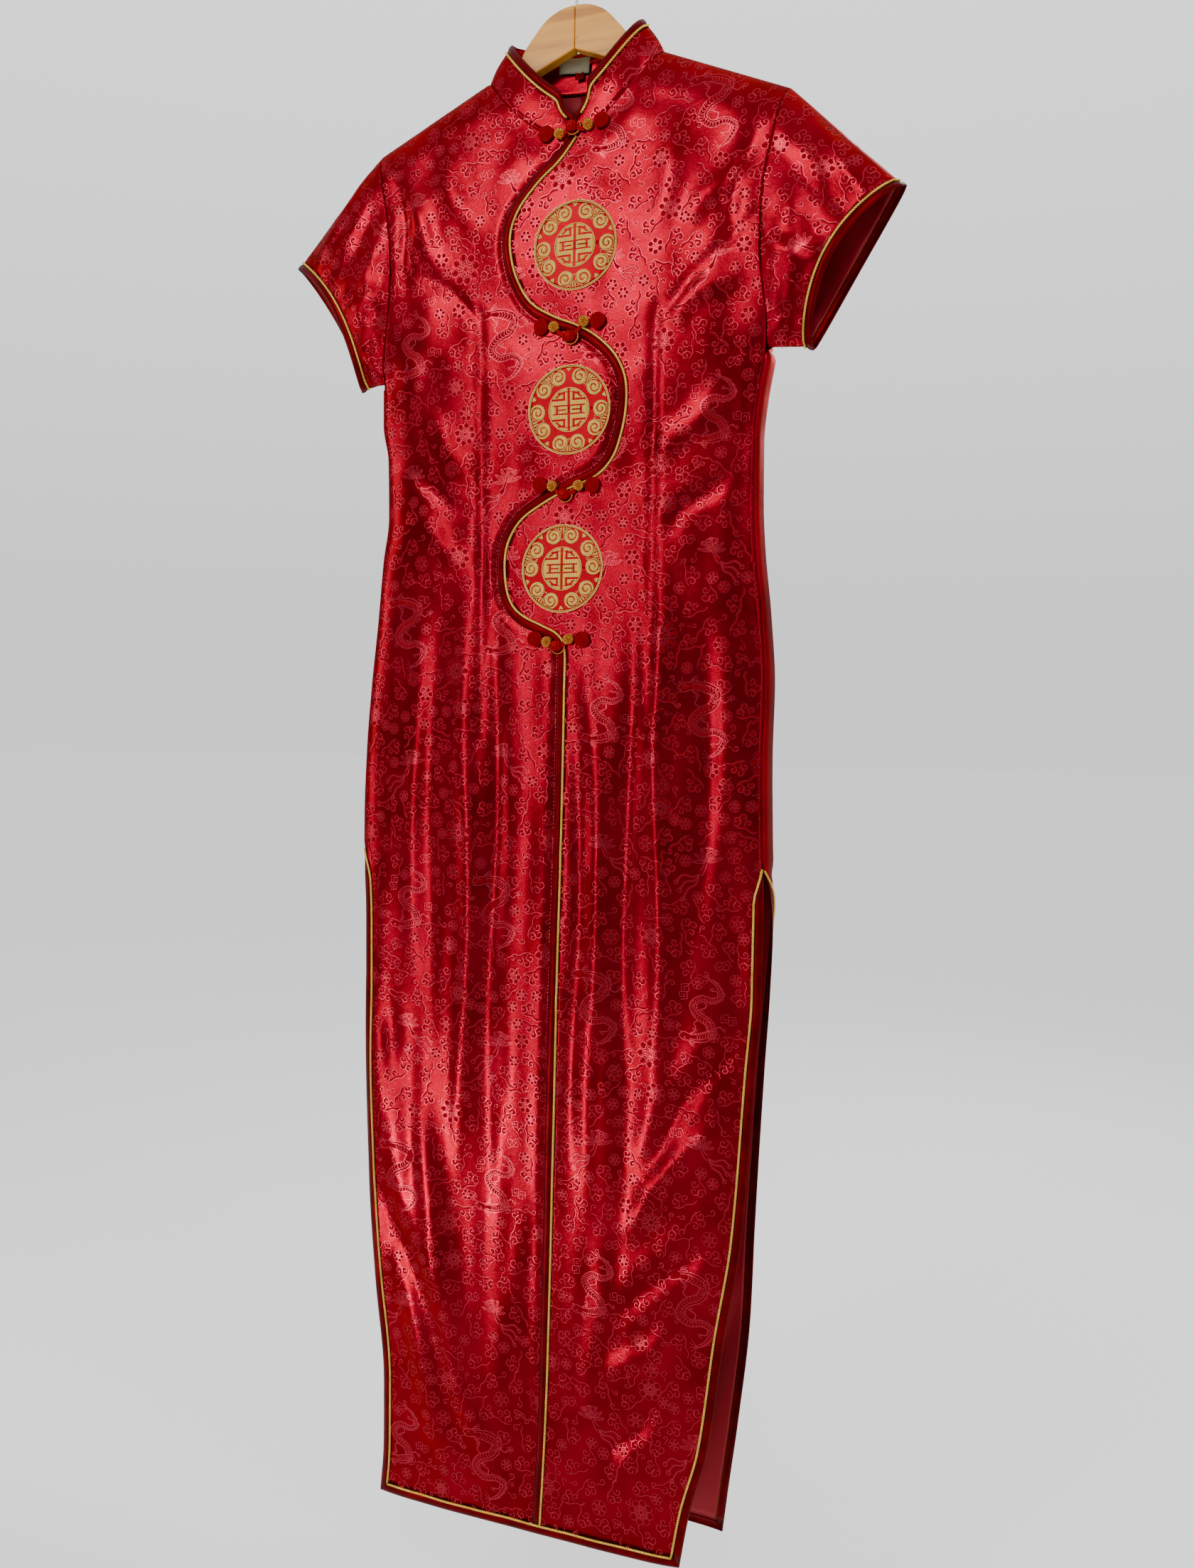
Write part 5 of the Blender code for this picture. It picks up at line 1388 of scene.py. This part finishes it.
def phoenix_figure():
    """Bird with fanned wings and long barbed tail feathers."""
    body = smooth_curve(((14, 12), (8, 13), (2, 7), (-3, 1), (-8, -1)), 6)
    fills = [(body, 3.6)]
    lines = [(body + (0.5, 3.0), 0.8), (body - (0.5, 3.0), 0.8),
             (arc_points(17, 13, 2.6, 0.0, FULL_TURN, 12), 0.8),
             (((19, 13.6), (23, 12.4), (19, 11.8)), 0.7)]
    for k in range(3):
        lines.append((smooth_curve(((16, 15.5), (14 - k * 2, 19 + k), (10 - k * 3, 20 + k)), 5), 0.6))
    for k in range(6):
        angle = -0.10 + 0.56 * k
        reach = 19.0 - 0.8 * k
        t = np.linspace(0.0, FULL_TURN, 17)
        wing = turned(reach * 0.55 + reach * 0.45 * np.cos(t), 1.7 * np.sin(t), angle)
        lines.append((wing + (3, 7), 0.65))
        lines.append((turned(np.linspace(2, reach * 0.95, 6), 0.0, angle) + (3, 7), 0.5))
    for bend in (-6.0, 0.0, 6.0):
        feather = smooth_curve(((-8, -1), (-16, -6 + bend * 0.7), (-25, -4 + bend * 1.3),
                                (-34, -10 + bend * 1.6)), 8)
        run, side = directions(feather)
        lines.append((feather, 0.8))
        for j in range(3, len(feather), 2):
            for hand in (-1.0, 1.0):
                lines.append(((feather[j], feather[j] + side[j] * hand * 2.3 + run[j] * 1.8), 0.5))
        lines.append((arc_points(*feather[-1], 2.4, 0.0, FULL_TURN, 10), 0.7))
        fills.append((feather[4:], 3.2))
    return fills, lines


FIGURES = {"dragon": dragon_figure(), "phoenix": phoenix_figure(), "cloud": cloud_figure(),
           "fret": fret_figure(), "leaf": leaf_figure(), "curl": curl_figure()}
REPEAT = (0.196, 0.262)
LARGE_FIGURES = (
    ("dragon", 0.046, 0.056, 0.2, 0.84, False), ("phoenix", 0.146, 0.185, 0.4, 0.84, False),
    ("dragon", 0.148, 0.060, 2.9, 0.72, True), ("phoenix", 0.050, 0.195, -0.3, 0.76, True),
    ("flower", 0.098, 0.018, 0.0, 13.0, False), ("flower", 0.004, 0.128, 0.5, 15.0, False),
    ("flower", 0.098, 0.124, 1.1, 12.0, False), ("flower", 0.006, 0.245, 0.9, 10.0, False),
    ("flower", 0.104, 0.238, 0.3, 11.0, False), ("flower", 0.192, 0.020, 0.3, 9.0, False),
)
# Circles that the large figures fill: middle and radius in millimetres
FIGURE_ROOM = {"dragon": ((-4.0, 32.0, 17.0), (0.0, 10.0, 18.0), (0.0, -12.0, 18.0), (4.0, -33.0, 13.0)),
               "phoenix": ((8.0, 10.0, 19.0), (-12.0, -3.0, 10.0), (-27.0, -7.0, 11.0))}
# Small figures with their size and the radius that they need
SMALL_FIGURES = (("cloud", 1.0, 0.0102), ("fret", 0.95, 0.0092), ("leaf", 0.9, 0.0098),
                 ("flower", 7.5, 0.0076), ("cloud", 0.8, 0.0082), ("flower", 5.5, 0.0056),
                 ("curl", 1.1, 0.0046), ("curl", 0.85, 0.0036))
TRIES = 1200
# Where a ribbon ends: least share of the normal towards the viewer, reach past the side line, longest step
STEEPEST = 0.35
FAR_SIDE = 0.001
LONGEST_STEP = 0.015


def place_figure(kind, x, y, turn, size, flip):
    """Fills and lines of a figure in metres, at its place. Its size widens the fills alone."""
    fills, lines = flower_figure(size, turn) if kind == "flower" else FIGURES[kind]
    scale = 1.0 if kind == "flower" else size
    moved = []
    for group, width_scale in ((fills, scale), (lines, 1.0)):
        out = []
        for path, width in group:
            path = np.asarray(path, float) * (-scale if flip else scale, scale)
            out.append((turned(path[:, 0], path[:, 1], turn) * 0.001 + (x, y), width * width_scale * 0.001))
        moved.append(out)
    return moved


def repeat_figures():
    """One repeat of the woven pattern: large figures, with small ones filling the gaps."""
    placed = []
    fills = []
    lines = []

    def add(*figure):
        more_fills, more_lines = place_figure(*figure)
        fills.extend(more_fills)
        lines.extend(more_lines)

    for kind, x, y, turn, size, flip in LARGE_FIGURES:
        add(kind, x, y, turn, size, flip)
        c, s = math.cos(turn), math.sin(turn)
        for u, v, reach in FIGURE_ROOM.get(kind, ((0.0, 0.0, 1.0),)):
            u = (-u if flip else u) * size * 0.001
            v = v * size * 0.001
            placed.append((x + u * c - v * s, y + u * s + v * c, reach * size * 0.001))
    for attempt in range(TRIES * len(SMALL_FIGURES)):
        kind, size, reach = SMALL_FIGURES[attempt // TRIES]
        x = rng.uniform(0.0, REPEAT[0])
        y = rng.uniform(0.0, REPEAT[1])
        dx, dy, room = np.array(placed).T
        dx = (x - dx + REPEAT[0] / 2) % REPEAT[0] - REPEAT[0] / 2
        dy = (y - dy + REPEAT[1] / 2) % REPEAT[1] - REPEAT[1] / 2
        if (np.hypot(dx, dy) >= (room + reach) * 0.92).all():
            turn = rng.uniform(0.0, 6.28)
            add(kind, x, y, turn, size, rng.random() < 0.5)
            placed.append((x, y, reach))
    return fills, lines


def ribbon(path, width):
    """Flat strip along a path: left and right points."""
    _, side = directions(path)
    side *= width * 0.5
    side[[0, -1]] *= 0.45
    return path + side, path - side


def lay_figures(name, surface, facing, ribbons, material, lift):
    """Lay flat ribbons on a shell, each point cast along Y on to its surface."""
    tree = SURFACES[surface]
    verts = []
    faces = []
    direction = Vector((0.0, facing, 0.0))

    def laid(x, z):
        hit, normal, _, _ = tree.ray_cast(Vector((x, -0.2 * facing, z)), direction)
        if hit is None or abs(normal.y) < STEEPEST or (hit.y * facing > FAR_SIDE and surface != "collar"):
            return None
        return hit + (-normal if normal.y * facing > 0.0 else normal) * lift

    for left, right in ribbons:
        before = None
        for a, b in zip(left, right):
            first = laid(*a)
            second = None if first is None else laid(*b)
            if second is None:
                before = None
                continue
            index = len(verts)
            if before is not None and (verts[before] - first).length <= LONGEST_STEP:
                faces.append((before, before + 1, index + 1, index))
            verts += [first, second]
            before = index
    add_piece(name, verts, faces, material, np.array([(v.x, v.z) for v in verts]))


def tiled(ribbons, box, shift, turn, centre):
    """Copies of the repeat's ribbons over a box, moved and turned."""
    x0, x1, z0, z1 = box
    c, s = math.cos(turn), math.sin(turn)
    spin = np.array(((c, s), (-s, c)))
    reach = math.hypot(x1 - x0, z1 - z0) / 2 + 0.05
    across = int(reach / REPEAT[0]) + 1
    down = int(reach / REPEAT[1]) + 1
    middles = np.array([left[len(left) // 2] for left, _ in ribbons])
    sizes = np.array([np.abs(left - left[len(left) // 2]).sum(axis=1).max() for left, _ in ribbons])
    out = []
    for i in range(-across - 1, across + 1):
        for j in range(-down - 1, down + 1):
            offset = np.array((i * REPEAT[0] + shift[0] + (0.5 * REPEAT[0] if j % 2 else 0.0),
                               j * REPEAT[1] + shift[1]))
            x, z = ((middles + offset) @ spin + centre).T
            near = (x + sizes > x0) & (x - sizes < x1) & (z + sizes > z0) & (z - sizes < z1)
            for k in np.flatnonzero(near):
                out.append([(side + offset) @ spin + centre for side in ribbons[k]])
    return out


# Shell, facing, box, shift and turn of each laid pattern, and its height over the shell
FILL_LIFT = 0.00008
LINE_LIFT = 0.00016
WOVEN_ON = (
    ("front_left", 1.0, (-0.07, 0.22, -1.47, -0.11), (0.020, 0.030), 0.0),
    ("front_right", 1.0, (-0.22, 0.08, -1.47, -0.11), (0.064, 0.110), 0.0),
    ("back_left", -1.0, (-0.01, 0.22, -1.47, -0.11), (0.050, 0.060), 0.0),
    ("back_right", -1.0, (-0.22, 0.01, -1.47, -0.11), (0.010, 0.140), 0.0),
    ("sleeve_left", 1.0, (0.17, 0.31, -0.40, -0.15), (0.010, 0.050), 0.75),
    ("sleeve_right", 1.0, (-0.31, -0.17, -0.40, -0.15), (0.070, 0.020), -0.75),
    ("sleeve_left", -1.0, (0.17, 0.31, -0.40, -0.15), (0.060, 0.090), 0.75),
    ("sleeve_right", -1.0, (-0.31, -0.17, -0.40, -0.15), (0.020, 0.070), -0.75),
    ("collar", 1.0, (-0.10, 0.10, -0.19, -0.07), (0.030, 0.080), 0.0),
    ("collar", -1.0, (-0.10, 0.10, -0.19, -0.07), (0.060, 0.020), 0.0),
)


def thinned(paths):
    """Paths with every second point, and both ends."""
    out = []
    for path, width in paths:
        keep = list(range(0, len(path) - 1, 2)) + [len(path) - 1]
        out.append((path[keep] if len(path) > 5 else path, width))
    return out


def woven_figures():
    fills, lines = repeat_figures()
    fill_ribbons, near_ribbons, far_ribbons = ([ribbon(path, width) for path, width in paths]
                                               for paths in (thinned(fills), lines, thinned(lines)))
    for surface, facing, box, shift, turn in WOVEN_ON:
        centre = np.array(((box[0] + box[1]) / 2, (box[2] + box[3]) / 2))
        behind = "_behind" if facing < 0.0 else ""
        line_ribbons = far_ribbons if behind else near_ribbons
        for kind, ribbons, lift in (("fill", fill_ribbons, FILL_LIFT), ("line", line_ribbons, LINE_LIFT)):
            lay_figures(surface + "_woven_" + kind + behind, surface, facing,
                        tiled(ribbons, box, shift, turn, centre), kind, lift)


# Stitches
def stitch_line(name, path, surface, length):
    """Row of short running stitches along a path of x and z."""
    ribbons = []
    for start in np.arange(STITCH_PITCH, lengths_along(path)[-1] - STITCH_PITCH, STITCH_PITCH):
        ribbons.append(ribbon(resample(path, np.array((start, start + length * 0.5, start + length))), 0.0006))
    lay_figures(name, surface, 1.0, ribbons, "line", 0.00035)


def stitches(rows):
    for name, dart in (("right", DART_LINES[0]), ("left", DART_LINES[1])):
        path = np.stack([dart[:, 0], NECK_Z - dart[:, 1]], axis=1)
        stitch_line("dart_stitches_" + name, path, "front_" + name, 0.0018)
    away = BINDING + 0.0008
    path = np.stack([rows[0] - rows[2] * away, NECK_Z - (rows[1] - rows[3] * away)], axis=1)[12:]
    stitch_line("edge_stitches", path, "front_right", 0.0017)


# Hanger, hook and label
def hanger_outline():
    top = smooth_curve(((0.0002, 0.0550), (0.0110, 0.0540), (0.0208, 0.0505), (0.0300, 0.0450),
                        (0.0400, 0.0345), (0.0504, 0.0215), (0.0640, -0.0020), (0.0855, -0.0098),
                        (0.1200, -0.0182), (0.1860, -0.0472)), 6)
    end = smooth_curve(((0.1860, -0.0472), (0.1900, -0.0530), (0.1900, -0.0650), (0.1820, -0.0712),
                        (0.1200, -0.0442), (0.0600, -0.0080)), 6)
    return np.concatenate([top[:-1], end, [(0.0002, 0.0160)]])


def hanger(name, sign):
    work = bmesh.new()
    verts = [work.verts.new((sign * x, -0.5 * HANGER_THICK, NECK_Z + z)) for x, z in hanger_outline()]
    grown = bmesh.ops.extrude_face_region(work, geom=[work.faces.new(verts)])
    moved = [v for v in grown["geom"] if isinstance(v, bmesh.types.BMVert)]
    bmesh.ops.translate(work, vec=(0.0, HANGER_THICK, 0.0), verts=moved)
    bmesh.ops.recalc_face_normals(work, faces=work.faces)
    mesh = bpy.data.meshes.new("hanger_" + name + "_wood")
    work.to_mesh(mesh)
    work.free()
    mesh.materials.append(MATERIALS["wood"])
    made = add_object(mesh.name, mesh)
    edge = made.modifiers.new("round", "BEVEL")
    edge.width = 0.0016
    edge.segments = 3
    edge.limit_method = "ANGLE"
    edge.angle_limit = math.radians(50.0)
    mesh.shade_smooth()
    mesh.set_sharp_from_angle(angle=math.radians(35.0))
    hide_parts("hanger_" + name)


def hook():
    wire = 0.0016
    bow = 0.0216
    points = [(0.0, 0.0, NECK_Z + 0.0540), (0.0, 0.0, -0.0560), (0.0004, 0.0, -0.0510), (0.0035, 0.0, -0.0460),
              (0.0085, 0.0, -0.0418)]
    for k in range(17):
        turn = math.radians(mix(-52.0, 205.0, k / 16.0))
        points.append((bow * math.cos(turn), 0.0, wire - bow + bow * math.sin(turn)))
    add_tubes("hook_wire", [tube_mesh(smooth_curve(points, 5), wire, 14)], "steel", "hanger_hook")


def flat_tape(name, centre, size, tilt, material):
    b, a = np.meshgrid(np.linspace(-0.5, 0.5, 7), np.linspace(-0.5, 0.5, 13), indexing="ij")
    c, s = math.cos(tilt), math.sin(tilt)
    grid = np.stack([centre[0] + a * size[0] * c - b * size[1] * s,
                     centre[1] + 0.0006 * np.sin(6.0 * a + 2.0 * b) + 0.0005 * np.cos(9.0 * a),
                     centre[2] + a * size[0] * s + b * size[1] * c], axis=-1)
    made, _, _ = cloth(name + "_tape", grid, FRONT, material, 0.0003, name)


# Stage, light and camera
def stage():
    mesh = bpy.data.meshes.new("floor")
    reach = 30.0
    mesh.from_pydata([(-reach, -reach, FLOOR_Z), (reach, -reach, FLOOR_Z), (reach, reach, FLOOR_Z),
                      (-reach, reach, FLOOR_Z)], [], [(0, 1, 2, 3)])
    floor = bpy.data.objects.new("floor", mesh)
    bpy.context.scene.collection.objects.link(floor)
    pale, tree, shader = new_material("pale_floor", (0.90, 0.90, 0.90), 0.85)
    split = node(tree, "SeparateXYZ", Vector=object_vector(tree))
    # Floor painted darker in front of the dress: painted shade, so the satin skirt reflects a dim floor. Behind
    # the dress it stays evenly pale.
    painted_shade_ahead = node(tree, "MapRange", From_Min=-0.70, From_Max=0.10, Value=split.outputs["Y"]).outputs["Result"]
    feed(tree, shader.inputs["Base Color"],
         ramp(tree, painted_shade_ahead, (0.0, (0.40, 0.40, 0.41)), (1.0, (0.90, 0.90, 0.90))))
    mesh.materials.append(pale)
    world = bpy.data.worlds.new("studio")
    world.use_nodes = True
    tree = world.node_tree
    split = node(tree, "SeparateXYZ", Vector=node(tree, "TexCoord").outputs["Generated"])
    parts = [node(tree, "MapRange", From_Min=low, From_Max=high, To_Min=dark, To_Max=bright,
                  Value=split.outputs[side]).outputs["Result"]
             for side, low, high, dark, bright in (("Y", -0.5, 0.6, 0.16, 1.08), ("Z", 0.10, 0.9, 0.0, 0.9))]
    background = tree.nodes["Background"]
    background.inputs["Color"].default_value = (0.97, 0.98, 1.0, 1.0)
    feed(tree, background.inputs["Strength"], math_node(tree, "ADD", *parts))
    bpy.context.scene.world = world


def area_light(name, place, target, size, power, spread=180.0):
    data = bpy.data.lights.new(name, "AREA")
    data.shape = "RECTANGLE"
    data.size, data.size_y = size
    data.energy = power
    data.spread = math.radians(spread)
    made = bpy.data.objects.new(name, data)
    made.location = place
    aim = Vector(target) - Vector(place)
    made.rotation_euler = aim.to_track_quat("-Z", "Y").to_euler()
    bpy.context.scene.collection.objects.link(made)


def camera():
    data = bpy.data.cameras.new("camera")
    data.sensor_fit = "AUTO"
    data.sensor_width = 36.0
    data.lens = FOCAL_PX * data.sensor_width / IMAGE_LONG_SIDE
    made = bpy.data.objects.new("camera", data)
    forward = Vector((-math.sin(CAMERA_AZIMUTH), math.cos(CAMERA_AZIMUTH), 0.0))
    across = Vector((math.cos(CAMERA_AZIMUTH), math.sin(CAMERA_AZIMUTH), 0.0))
    up = Vector((0.0, 0.0, 1.0))
    look = forward * math.cos(CAMERA_PITCH) + up * math.sin(CAMERA_PITCH)
    top = -forward * math.sin(CAMERA_PITCH) + up * math.cos(CAMERA_PITCH)
    right = across * math.cos(CAMERA_ROLL) + top * math.sin(CAMERA_ROLL)
    top = -across * math.sin(CAMERA_ROLL) + top * math.cos(CAMERA_ROLL)
    made.matrix_world = Matrix((right, top, -look)).transposed().to_4x4()
    made.location = Vector(CAMERA_TARGET) - forward * CAMERA_DISTANCE
    bpy.context.scene.collection.objects.link(made)
    bpy.context.scene.camera = made


def main():
    rows = edge_rows(0.0045, 0.0075)
    front_panels(rows)
    back_panels()
    for name, sign in (("left", 1.0), ("right", -1.0)):
        sleeve(name, sign)
        front_slit_trim(name, sign, rows)
        hanger(name, sign)
    front_hem_trim(rows)
    back_trim()
    edge_trim(rows)
    collar()
    frogs()
    for number, (x, drop, lobe_up) in enumerate(MEDALLIONS, start=1):
        roundel(number, x, drop, lobe_up)
    woven_figures()
    stitches(rows)
    hook()
    flat_tape("neck_label", (-0.006, 0.0098, NECK_Z + 0.0085), (0.030, 0.014), -0.10, "label")
    flat_tape("label_tab", (-0.001, 0.0094, NECK_Z - 0.0018), (0.008, 0.006), 0.0, "satin")
    stage()
    area_light("key", (0.85, -2.1, 0.75), (0.0, 0.0, -0.5), (0.4, 0.8), 13.0)
    area_light("strip", (-0.80, -1.9, -0.62), (0.0, 0.0, -0.75), (0.12, 1.8), 10.0)
    area_light("chest", (-0.62, -1.6, 0.46), (0.0, 0.0, -0.3), (0.55, 0.26), 7.5)
    area_light("low", (-0.70, -1.00, -1.44), (-0.08, 0.0, -1.15), (0.10, 0.24), 0.32, 60.0)
    area_light("fill", (-1.9, -0.9, -0.3), (0.0, 0.0, -0.7), (0.4, 1.5), 9.0)
    area_light("right", (1.8, -1.0, -0.5), (0.0, 0.0, -0.8), (0.25, 1.6), 8.0)
    area_light("behind", (0.6, 2.0, 0.6), (0.0, 0.0, -0.7), (1.0, 1.4), 26.0)
    camera()


main()
